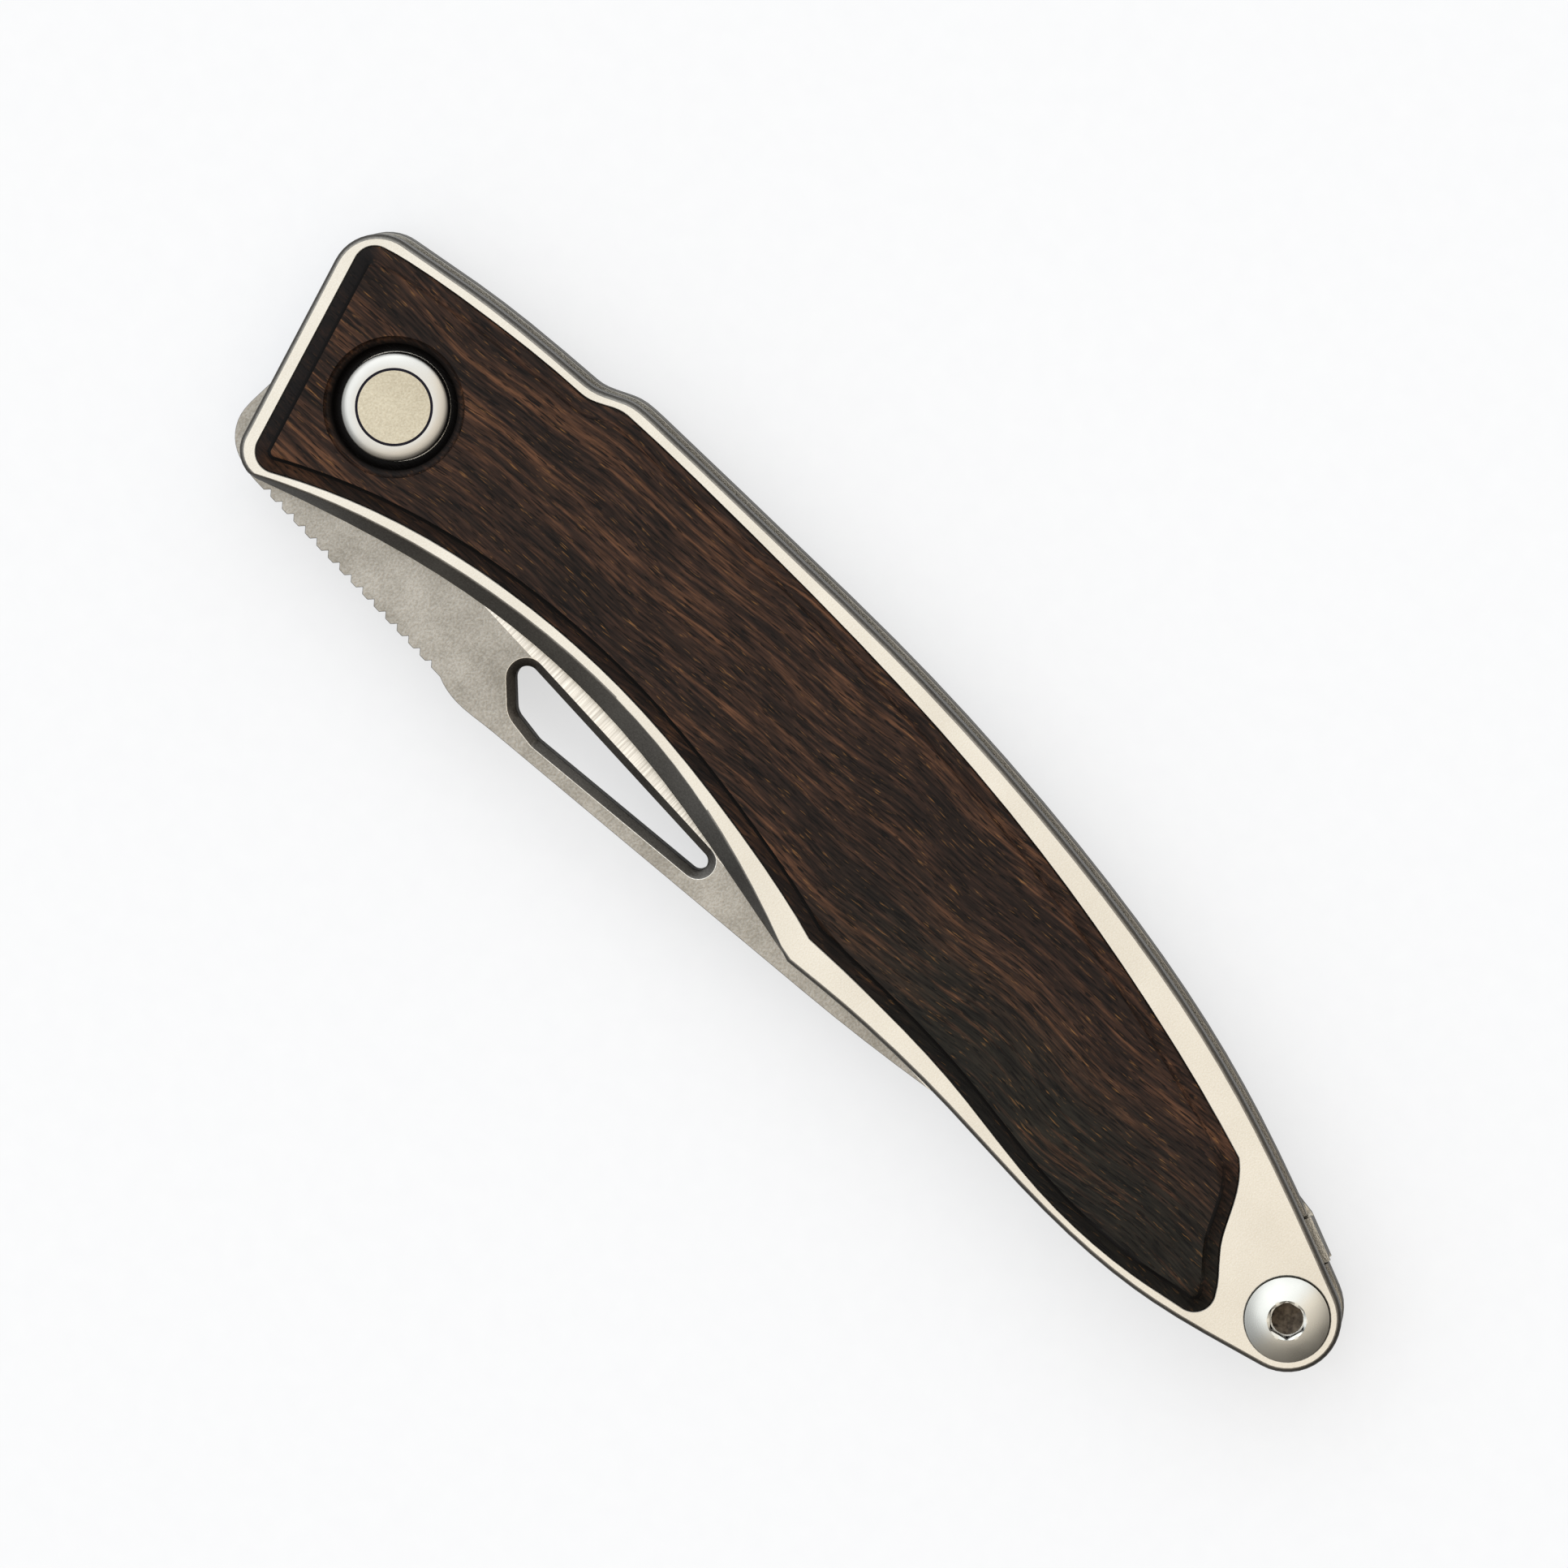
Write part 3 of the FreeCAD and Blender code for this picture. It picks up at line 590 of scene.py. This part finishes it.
def open_rim(mesh: bmesh.types.BMesh, level: float) -> list[bmesh.types.BMEdge]:
    """The edges at a level, in metres, that still lack a face on one side."""
    return [e for e in mesh.edges if len(e.link_faces) < 2
            and all(abs(vertex.co.z - level) < LEVEL_SLACK for vertex in e.verts)]


def edges_between(mesh: bmesh.types.BMesh,
                  verts: Iterable[bmesh.types.BMVert]) -> list[bmesh.types.BMEdge]:
    """The edges whose two ends are both among the vertices, in the mesh's own order."""
    chosen = set(verts)
    return [e for e in mesh.edges if all(vertex in chosen for vertex in e.verts)]


def outline_of(node: str, level: float) -> bmesh.types.BMesh:
    """Fill the outer outline of a node's flat face.

    Args:
        node: The frame node.
        level: The height of the flat face, in metres.

    Returns:
        A flat sheet of triangles that fills the outline, holes and all.
    """
    mesh = cad_copy(node)
    other = [f for f in mesh.faces
             if abs(f.normal.z) < LEVEL_RISE or abs(f.calc_center_median().z - level) > LEVEL_SLACK]
    bmesh.ops.delete(mesh, geom=other, context="FACES")
    rims = loops_of(e for e in mesh.edges if len(e.link_faces) == 1)
    outer = set(max(rims, key=length_of))
    bmesh.ops.delete(mesh, geom=mesh.faces[:], context="FACES_ONLY")
    bmesh.ops.delete(mesh, geom=[e for e in mesh.edges if e not in outer], context="EDGES")
    bmesh.ops.delete(mesh, geom=[v for v in mesh.verts if not v.link_edges], context="VERTS")
    bmesh.ops.triangle_fill(mesh, use_beauty=True, edges=mesh.edges[:])
    mesh.normal_update()
    return mesh


def lathe(profile: Sequence[tuple[float, float]], centre: Vector) -> bmesh.types.BMesh:
    """Spin a profile about an upright axis.

    Args:
        profile: Radius and height of each point, in millimetres.
        centre: The point on the axis at height zero, in metres.

    Returns:
        The spun mesh, open where the profile's ends stand off the axis.
    """
    mesh = bmesh.new()
    points = [centre + Vector((radius, 0.0, height)) * MM for radius, height in profile]
    verts = [mesh.verts.new(point) for point in points]
    edges = [mesh.edges.new(pair) for pair in zip(verts, verts[1:])]
    bmesh.ops.spin(mesh, geom=verts + edges, cent=centre, axis=(0, 0, 1), dvec=(0, 0, 0),
                   angle=math.tau, steps=ROUND_STEPS, use_merge=True)
    bmesh.ops.remove_doubles(mesh, verts=mesh.verts, dist=MERGE)
    return mesh


def quarter(start: tuple[float, float], end: tuple[float, float],
            steps: int = ARC_STEPS) -> list[tuple[float, float]]:
    """A quarter ellipse that leaves start upright and reaches end level, in millimetres."""
    angles = [math.pi / 2 * k / steps for k in range(steps + 1)]
    return [(end[0] + (start[0] - end[0]) * math.cos(a), start[1] + (end[1] - start[1]) * math.sin(a))
            for a in angles]


def ball_slice(start: tuple[float, float], end: tuple[float, float],
               steps: int = ARC_STEPS) -> list[tuple[float, float]]:
    """Work out the dome of a button head: a slice of a ball that is centred on the axis.

    Args:
        start: Radius and height where the slice begins, in millimetres.
        end: Radius and height where it ends, nearer the axis.
        steps: How many stretches it is drawn with.

    Returns:
        Its points from start to end, in millimetres.
    """
    rise = end[1] - start[1]
    sink = (start[0] ** 2 - end[0] ** 2 - rise ** 2) / (2 * rise)
    ball = math.copysign(math.hypot(start[0], sink), rise)
    first, last = math.asin(start[0] / abs(ball)), math.asin(end[0] / abs(ball))
    angles = [first + (last - first) * k / steps for k in range(steps + 1)]
    return [(abs(ball) * math.sin(a), start[1] - sink + ball * math.cos(a)) for a in angles]


def piece(name: str, mesh: bmesh.types.BMesh, finishes: Sequence[Finish], body: Body, *nodes: str,
          sharp_angle: float = SHARP_ANGLE) -> None:
    """Turn a mesh into a finished piece that rides on a body and stands for its frame nodes.

    Args:
        name: The piece's name.
        mesh: Its geometry, which is freed.
        finishes: Its finishes, in the order of its material slots.
        body: The body that it rides on.
        nodes: The frame nodes that it replaces.
        sharp_angle: Edges that turn by more than this are shaded sharp, in degrees.
    """
    for face in mesh.faces:
        face.smooth = True
    data = bpy.data.meshes.new(name)
    mesh.to_mesh(data)
    mesh.free()
    for finish in finishes:
        data.materials.append(material_of(finish))
    data.set_sharp_from_angle(angle=math.radians(sharp_angle))
    made_piece = bpy.data.objects.new(name, data)
    bpy.context.scene.collection.objects.link(made_piece)
    modifier = made_piece.modifiers.new("even shading", "WEIGHTED_NORMAL")
    modifier.keep_sharp = True
    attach(made_piece, body.value)
    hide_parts(*nodes)
    log.info("%s: %d faces, rides on %s, stands for %s", name, len(data.polygons), body.value, nodes)


# ---- sub-assemblies ----
@dataclass
class HandleMetal:
    """The two slabs, the lock bar, the spacer and the pocket clip.

    Their chamfers and the scallop are as the cutter left them, duller than the blasted faces and painted
    greyer as shade.
    """

    edge: float = 0.09
    clip_edge: float = 0.1
    clip_web: float = 8.0
    cut_rise: tuple[float, float] = (0.2, 0.985)

    def build(self) -> None:
        """Copy each metal piece of the handle with softened edges and grey cuts."""
        web_start = middle_of("tail_spacer").x - self.clip_web * MM
        for node, body, edge, until in (("front_frame", Body.HANDLE, self.edge, math.inf),
                                        ("back_frame", Body.HANDLE, self.edge, math.inf),
                                        ("lock_bar", Body.LOCK, self.edge, math.inf),
                                        ("tail_spacer", Body.HANDLE, self.edge, math.inf),
                                        ("pocket_clip", Body.HANDLE, self.clip_edge, web_start)):
            mesh = cad_copy(node)
            soften(mesh, edge, until)
            mesh.normal_update()
            least, most = self.cut_rise
            # The second finish, painted darker as shade, is for faces that slope.
            for face in mesh.faces:
                if least < abs(face.normal.z) < most:
                    face.material_index = 1
            piece(node + "_blasted", mesh, [PALETTE.titanium, PALETTE.titanium_cut_shade], body, node)


@dataclass
class Inlay:
    """A wood inlay: an upright edge, a sloping land, a steep step and a flat face.

    The bevel's bands are widths and heights from the edge inwards. A face is spared the painted
    shade where it looks towards the spine, where the light falls, by the Y part of its direction.
    """

    node: str
    side: Side
    bevel: tuple[tuple[float, float], ...] = ((0.05, 0.07), (0.72, 0.15), (0.24, 0.28))
    corner_merge: float = 0.05
    crease_angle: float = 16.0
    lit_facing: tuple[float, float] = (0.45, 0.97)
    land_tilt: float = 0.9
    steep: float = 0.3
    land_shade: float = 0.55
    front_shade: float = 0.35

    def build(self) -> None:
        """Raise the inlay from its outline and paint shade on its bevel."""
        low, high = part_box(self.node)
        seat, crown = (low.z, high.z) if self.side is Side.SHOW else (high.z, low.z)
        mesh = outline_of(self.node, seat)
        if sum(face.normal.z for face in mesh.faces) * self.side.value < 0:
            bmesh.ops.reverse_faces(mesh, faces=mesh.faces[:])
        grown = bmesh.ops.extrude_face_region(mesh, geom=mesh.faces[:])["geom"]
        moved = [g for g in grown if isinstance(g, bmesh.types.BMVert)]
        top = [g for g in grown if isinstance(g, bmesh.types.BMFace)]
        rise = abs(crown - seat) - sum(height for _width, height in self.bevel) * MM
        bmesh.ops.translate(mesh, verts=moved, vec=(0, 0, rise * self.side.value))
        for width, height in self.bevel:
            bmesh.ops.inset_region(mesh, faces=top, thickness=width * MM, depth=height * MM,
                                   use_boundary=True, use_even_offset=True)
        for vertex in {vertex for face in top for vertex in face.verts}:
            vertex.co.z = crown
        flat = top + [f for f in mesh.faces
                      if all(abs(vertex.co.z - seat) < LEVEL_SLACK for vertex in f.verts)]
        bmesh.ops.delete(mesh, geom=flat, context="FACES")
        rim = {vertex for edge in open_rim(mesh, crown) for vertex in edge.verts}
        # The merge depends on the order of its points, so they are sorted by their places.
        bmesh.ops.remove_doubles(mesh, verts=sorted(rim, key=lambda vertex: vertex.co[:]),
                                 dist=self.corner_merge * MM)
        self.open_hole(mesh, seat, crown)
        for level in (seat, crown):
            bmesh.ops.triangle_fill(mesh, use_beauty=True, edges=open_rim(mesh, level))
        bmesh.ops.recalc_face_normals(mesh, faces=mesh.faces)
        self.paint_shade(mesh)
        piece(self.node + "_wood", mesh, [PALETTE.wood], Body.HANDLE, self.node,
              sharp_angle=self.crease_angle)

    def open_hole(self, mesh: bmesh.types.BMesh, seat: float, crown: float) -> None:
        """Leave the inlay whole: only the show side's has a hole."""

    def paint_shade(self, mesh: bmesh.types.BMesh) -> None:
        """Mark how much painted shade each face takes: walls and bevels, but not on the spine side, where
        the light falls.

        Args:
            mesh: The inlay's mesh.
        """
        layer = mesh.loops.layers.float.new(PAINT_SHADE_LAYER)
        least, most = self.lit_facing
        for face in mesh.faces:
            upright = abs(face.normal.z)
            reach = max(math.hypot(face.normal.x, face.normal.y), 1e-6)
            shade_share = min(max((most - face.normal.y / reach) / (most - least), 0.0), 1.0)
            forward = max(-face.normal.x / reach, 0.0)
            if upright > LEVEL_RISE:
                value = 0.0
            elif upright > self.land_tilt:
                value = self.land_shade * shade_share + self.front_shade * forward
            else:
                value = shade_share if upright > self.steep else 1.0
            for loop in face.loops:
                loop[layer] = min(value, 1.0)


@dataclass
class PiercedInlay(Inlay):
    """The show side's inlay, with an eased hole round the pivot's head."""

    hole_gap: float = 0.58
    dish_width: float = 0.47
    dish_depth: float = 0.3
    dish_fade: float = 0.75
    ledge_height: float = 0.4
    ledge_fit: float = 0.06

    def open_hole(self, mesh: bmesh.types.BMesh, seat: float, crown: float) -> None:
        """Add the hole's mouth, its dished easing, its wall and the ledge at its foot.

        Args:
            mesh: The inlay's mesh, open at its two flat faces.
            seat: The level of its underside, in metres.
            crown: The level of its flat face, in metres.
        """
        centre = middle_of("pivot_cap")
        ledge = half_width("pivot_cap") + self.ledge_fit * MM
        hole = half_width("pivot_cap") + self.hole_gap * MM
        mouth = hole + self.dish_width * MM
        down = -self.side.value
        ledge_top = seat - down * self.ledge_height * MM
        place = Matrix.Translation((centre.x, centre.y, crown))
        verts = bmesh.ops.create_circle(mesh, cap_ends=False, segments=ROUND_STEPS, radius=mouth,
                                        matrix=place)["verts"]
        edges = edges_between(mesh, verts)
        steps = [(hole + (mouth - hole) * math.cos(math.radians(angle)),
                  crown + down * self.dish_depth * MM * math.sin(math.radians(angle)))
                 for angle in (30, 60, 90)]
        steps += [(hole, ledge_top), (ledge, ledge_top), (ledge, seat)]
        radius, level = mouth, crown
        for next_radius, next_level in steps:
            grown = bmesh.ops.extrude_edge_only(mesh, edges=edges)["geom"]
            verts = [g for g in grown if isinstance(g, bmesh.types.BMVert)]
            edges = edges_between(mesh, verts)
            share = next_radius / radius
            bmesh.ops.scale(mesh, verts=verts, vec=(share, share, 1.0),
                            space=Matrix.Translation((-centre.x, -centre.y, 0)))
            bmesh.ops.translate(mesh, verts=verts, vec=(0, 0, next_level - level))
            radius, level = next_radius, next_level

    def paint_shade(self, mesh: bmesh.types.BMesh) -> None:
        """Paint the hole's wall and ledge black as shade too, and fade the painted shade across its easing
        out to the face.

        Args:
            mesh: The inlay's mesh.
        """
        super().paint_shade(mesh)
        layer = mesh.loops.layers.float[PAINT_SHADE_LAYER]
        centre = middle_of("pivot_cap")
        hole = half_width("pivot_cap") / MM + self.hole_gap
        for face in mesh.faces:
            if (face.calc_center_median() - centre).xy.length / MM > hole + self.dish_width:
                continue
            for loop in face.loops:
                reach = (loop.vert.co - centre).xy.length / MM - hole
                loop[layer] = min(max(1.0 - self.dish_fade * reach / self.dish_width, 0.0), 1.0)


@dataclass
class Blade:
    """The blade: blasted flats, ground hollows, milled chamfers and softened edges."""

    edge: float = 0.035
    ground_tilt: tuple[float, float] = (0.4, 20.0)
    milled_tilt: float = 60.0

    def build(self) -> None:
        """Copy the blade and give its ground faces and its chamfers their own finishes."""
        mesh = cad_copy("blade")
        soften(mesh, self.edge)
        flat, ground, milled = [math.cos(math.radians(angle))
                                for angle in (*self.ground_tilt, self.milled_tilt)]
        mesh.normal_update()
        # The finishes are for flats, ground faces and milled ones painted darker as shade, told apart by
        # their tilt.
        for face in mesh.faces:
            rise = abs(face.normal.z)
            face.material_index = 1 if ground < rise < flat else 2 if milled < rise <= ground else 0
        piece("blade_steel", mesh, [PALETTE.blade_flat, PALETTE.blade_grind, PALETTE.steel_cut_shade],
              Body.BLADE, "blade")


@dataclass
class PivotCap:
    """The show side's pivot head: a domed ring, a turned groove painted black as shade and a bare flat
    middle.

    The line is given by its inner and outer radius.
    """

    shank: float = 1.6
    rim_drop: float = 0.32
    line: tuple[float, float] = (2.28, 2.45)
    line_depth: float = 0.1
    land: float = 0.05
    slack: float = 0.01

    def build(self) -> None:
        """Turn the cap on its axis, blast its middle and paint its groove and its sides black as shade."""
        low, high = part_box("pivot_cap")
        centre = middle_of("pivot_cap")
        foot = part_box("front_inlay")[0].z / MM
        bottom, crown = low.z / MM, high.z / MM
        radius = half_width("pivot_cap") / MM
        inner, outer = self.line
        floor = crown - self.line_depth
        profile = [(0.0, bottom), (self.shank, bottom), (self.shank, foot), (radius, foot)]
        profile += quarter((radius, crown - self.rim_drop), (outer + self.land, crown))
        profile += [(outer, crown), (outer, floor), (inner, floor), (inner, crown), (0.0, crown)]
        mesh = lathe(profile, Vector((centre.x, centre.y, 0.0)))
        bmesh.ops.recalc_face_normals(mesh, faces=mesh.faces)
        # The finishes are for the dome, the groove and sides painted black as shade, and the middle.
        for face in mesh.faces:
            place = (face.calc_center_median() - centre) / MM
            reach = math.hypot(place.x, place.y)
            if place.z + centre.z / MM > floor - MERGE / MM:
                in_middle, in_line = reach < inner - self.slack, reach < outer + self.slack
                face.material_index = 2 if in_middle else 1 if in_line else 0
            elif abs(face.normal.z) < UPRIGHT_RISE:
                face.material_index = 1
        piece("pivot_cap_turned", mesh, [PALETTE.pivot_head, PALETTE.groove_shade, PALETTE.cap_centre],
              Body.HANDLE, "pivot_cap")


@dataclass
class SocketScrew:
    """A button-head screw with a hex socket, whose turn is in degrees."""

    node: str
    side: Side
    finish: TurnedMetal
    head_height: float
    turn: float
    shank: float = 1.0
    rim_share: float = 0.56
    flats: float = 2.1
    mouth: float = 1.24
    ease: float = 0.05
    depth: float = 1.1
    drill: float = 0.25

    def build(self) -> None:
        """Turn the screw, then broach its socket."""
        low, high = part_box(self.node)
        centre = middle_of(self.node)
        up = self.side.value
        crown, end = (high.z / MM, low.z / MM) if self.side is Side.SHOW else (low.z / MM, high.z / MM)
        foot = crown - up * self.head_height
        radius = (high.y - low.y) / 2 / MM
        rim = foot + up * self.head_height * self.rim_share
        profile = [(0.0, end), (self.shank, end), (self.shank, foot), (radius, foot)]
        profile += ball_slice((radius, rim), (self.mouth, crown))
        mesh = lathe(profile, Vector((centre.x, centre.y, 0.0)))
        self.broach(mesh, Vector((centre.x, centre.y, crown * MM)))
        bmesh.ops.recalc_face_normals(mesh, faces=mesh.faces)
        piece(self.node + "_turned", mesh, [self.finish, PALETTE.socket], Body.HANDLE, self.node)

    def broach(self, mesh: bmesh.types.BMesh, mouth: Vector) -> None:
        """Sink the hex socket into the open mouth of the head.

        Args:
            mesh: The turned screw, open at the mouth of its socket.
            mouth: The middle of the mouth, in metres.
        """
        down = -self.side.value * MM
        rim = open_rim(mesh, mouth.z)
        place = Matrix.Translation(mouth + Vector((0, 0, down * self.ease)))
        turned = place @ Matrix.Rotation(math.radians(self.turn) - math.pi / 2, 4, "Z")
        corner = self.flats / 2 / math.cos(math.pi / HEX_SIDES)
        verts = bmesh.ops.create_circle(mesh, cap_ends=False, segments=HEX_SIDES, radius=corner * MM,
                                        matrix=turned)["verts"]
        bmesh.ops.subdivide_edges(mesh, edges=edges_between(mesh, verts),
                                  cuts=ROUND_STEPS // HEX_SIDES - 1)
        edges = open_rim(mesh, mouth.z + down * self.ease)
        bmesh.ops.bridge_loops(mesh, edges=rim + edges)
        before = set(mesh.faces)
        grown = bmesh.ops.extrude_edge_only(mesh, edges=edges)["geom"]
        verts = [g for g in grown if isinstance(g, bmesh.types.BMVert)]
        bmesh.ops.translate(mesh, verts=verts, vec=(0, 0, down * self.depth))
        floor = open_rim(mesh, mouth.z + down * (self.ease + self.depth))
        bmesh.ops.contextual_create(mesh, geom=floor)
        bottom = [f for f in mesh.faces if f not in before and len(f.verts) > HEX_SIDES]
        bmesh.ops.poke(mesh, faces=bottom)
        point = min((v for v in mesh.verts if (v.co - mouth).xy.length < MERGE),
                    key=lambda v: abs(v.co.z - mouth.z))
        point.co.z += down * self.drill
        # The socket's faces take the painted shade.
        for face in mesh.faces:
            if face not in before:
                face.material_index = 1


@dataclass
class HiddenHardware:
    """The ball, the pin, the bushing and the washers, which keep their frame shapes."""

    steel: tuple[str, ...] = ("detent_ball", "stop_pin", "pivot_bushing")
    bronze: tuple[str, ...] = ("front_washer", "back_washer")

    def build(self) -> None:
        """Give each of them its finish."""
        for nodes, finish in ((self.steel, PALETTE.hard), (self.bronze, PALETTE.bronze)):
            for node in nodes:
                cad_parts[node].data.materials.clear()
                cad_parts[node].data.materials.append(material_of(finish))
                log.info("%s: frame node, dressed in %s", node, finish.name)


# ---- studio ----
@dataclass
class Studio:
    """The table, the light and the camera.

    The lean points at the bright part of the sky. Each stop of the glow is how nearly a
    direction follows the lean, as a cosine, and how bright the sky is there, as a share of
    the zenith's strength. The slope makes the pivot's side of the sky the brighter one. The
    camera tilts towards the spine, and tilt and roll are in degrees.
    """

    aim_shift: tuple[float, float] = (-3.05, 0.34)
    tilt: float = 5.9
    roll: float = 45.63
    distance: float = 700.0
    view_width: float = 97.8
    sensor: float = 36.0
    table_size: float = 700.0
    zenith: float = 2.0
    lean: tuple[float, float, float] = (-0.09, 0.17, 0.981)
    glow: tuple[tuple[float, float], ...] = ((0.0, 0.08), (0.12, 0.15), (0.26, 0.28), (0.42, 0.30),
                                             (0.64, 0.38), (0.80, 0.96), (0.92, 1.0))
    slope: float = 0.8
    backdrop: float = 0.9
    cool: tuple[float, float, float, float] = (0.95, 0.985, 1.03, 1.0)
    warm: tuple[float, float, float, float] = (1.05, 0.965, 0.86, 1.0)
    tint_reach: float = 0.12
    paper: tuple[str, str] = ("#8f9092", "#959697")
    paper_fibre: float = 1.5
    paper_glow: float = 0.6

    def build(self) -> None:
        """Set up everything round the knife."""
        self.table()
        self.sky()
        self.camera()

    def table(self) -> None:
        """A plain pale table top in matt paper, lit for the camera so that the metal sees it dim."""
        mesh = bmesh.new()
        bmesh.ops.create_grid(mesh, x_segments=1, y_segments=1, size=self.table_size * MM / 2)
        data = bpy.data.meshes.new("table")
        mesh.to_mesh(data)
        mesh.free()
        material, tree, place = new_material("pale_table")
        fibres = add(tree, "TexNoise", {"Vector": place, "Scale": per_mm(self.paper_fibre), "Detail": 4.0})
        colour = add(tree, "ValToRGB", {"Fac": fibres.outputs["Fac"]},
                     stops=((0.0, linear(self.paper[0])), (1.0, linear(self.paper[1]))))
        seen = add(tree, "LightPath").outputs["Is Camera Ray"]
        lift = add(tree, "Math", {0: seen, 1: self.paper_glow}, operation="MULTIPLY")
        finish_material(tree, {"Base Color": colour.outputs["Color"], "Roughness": 0.9,
                               "Specular IOR Level": 0.1, "Emission Color": (1.0, 1.0, 1.0, 1.0),
                               "Emission Strength": lift.outputs[0]})
        data.materials.append(material)
        floor = bpy.data.objects.new("table", data)
        bpy.context.scene.collection.objects.link(floor)

    def sky(self) -> None:
        """A bright dome that leans over the spine and fades to a dark horizon, before a pale backdrop."""
        world = bpy.data.worlds.new("studio")
        world.use_nodes = True
        tree = world.node_tree
        tree.nodes.clear()
        place = add(tree, "TexCoord").outputs["Generated"]
        height = add(tree, "VectorMath", {0: place, 1: self.lean}, operation="DOT_PRODUCT")
        glow = add(tree, "ValToRGB", {"Fac": height.outputs["Value"]},
                   stops=[(position, (grey, grey, grey, 1.0)) for position, grey in self.glow])
        tilt = add(tree, "VectorMath", {0: place, 1: (-self.slope, 0.0, 0.0)}, operation="DOT_PRODUCT")
        uneven = add(tree, "Math", {0: tilt.outputs["Value"], 1: 1.0}, operation="ADD")
        peak = add(tree, "Math", {0: uneven.outputs[0], 1: self.zenith}, operation="MULTIPLY")
        light = add(tree, "Math", {0: glow.outputs["Color"], 1: peak.outputs[0]}, operation="MULTIPLY")
        seen = add(tree, "LightPath").outputs["Is Camera Ray"]
        shown = add(tree, "Mix", {0: seen, 2: light.outputs[0], 3: self.backdrop}, data_type="FLOAT")
        across = add(tree, "SeparateXYZ", {"Vector": place})
        side = add(tree, "MapRange", {"Value": across.outputs["X"], "From Min": -self.tint_reach,
                                      "From Max": self.tint_reach})
        tint = add(tree, "Mix", {0: side.outputs["Result"], 6: self.cool, 7: self.warm}, data_type="RGBA")
        glowing = add(tree, "Background", {"Color": tint.outputs[2], "Strength": shown.outputs[0]})
        add(tree, "OutputWorld", {"Surface": glowing.outputs["Background"]})
        bpy.context.scene.world = world

    def camera(self) -> None:
        """A long lens, a little off the square towards the spine, with the knife on a diagonal."""
        low, high = [Vector(corner) for corner in CAD_BOX]
        middle = (low + high) / 2
        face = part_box("front_frame")[1].z
        target = Vector((middle.x + self.aim_shift[0] * MM, middle.y + self.aim_shift[1] * MM, face))
        tilt, roll = math.radians(self.tilt), math.radians(self.roll)
        back = Vector((0.0, math.sin(tilt), math.cos(tilt)))
        along = Vector((1.0, 0.0, 0.0))
        across = back.cross(along)
        right = along * math.cos(roll) + across * math.sin(roll)
        up = across * math.cos(roll) - along * math.sin(roll)
        turn = Matrix((right, up, back)).transposed().to_4x4()
        lens = bpy.data.cameras.new("camera")
        lens.sensor_width = self.sensor
        lens.lens = self.sensor * self.distance / self.view_width
        lens.clip_start = 0.01
        lens.clip_end = 10.0
        holder = bpy.data.objects.new("camera", lens)
        bpy.context.scene.collection.objects.link(holder)
        holder.matrix_world = Matrix.Translation(target + back * self.distance * MM) @ turn
        bpy.context.scene.camera = holder


def main() -> None:
    """Build the knife and its studio."""
    logging.basicConfig(level=logging.INFO, format="%(name)s: %(message)s")
    bpy.context.scene.view_settings.view_transform = "Standard"
    HandleMetal().build()
    PiercedInlay("front_inlay", Side.SHOW).build()
    Inlay("back_inlay", Side.LOCK).build()
    Blade().build()
    PivotCap().build()
    SocketScrew("pivot_screw", Side.LOCK, PALETTE.pivot_head, head_height=1.6, turn=0.0).build()
    SocketScrew("tail_screw_front", Side.SHOW, PALETTE.tail_head, head_height=1.15, turn=15.0).build()
    SocketScrew("tail_screw_back", Side.LOCK, PALETTE.tail_head, head_height=1.15, turn=15.0).build()
    HiddenHardware().build()
    Studio().build()


if __name__ == "__main__":
    main()
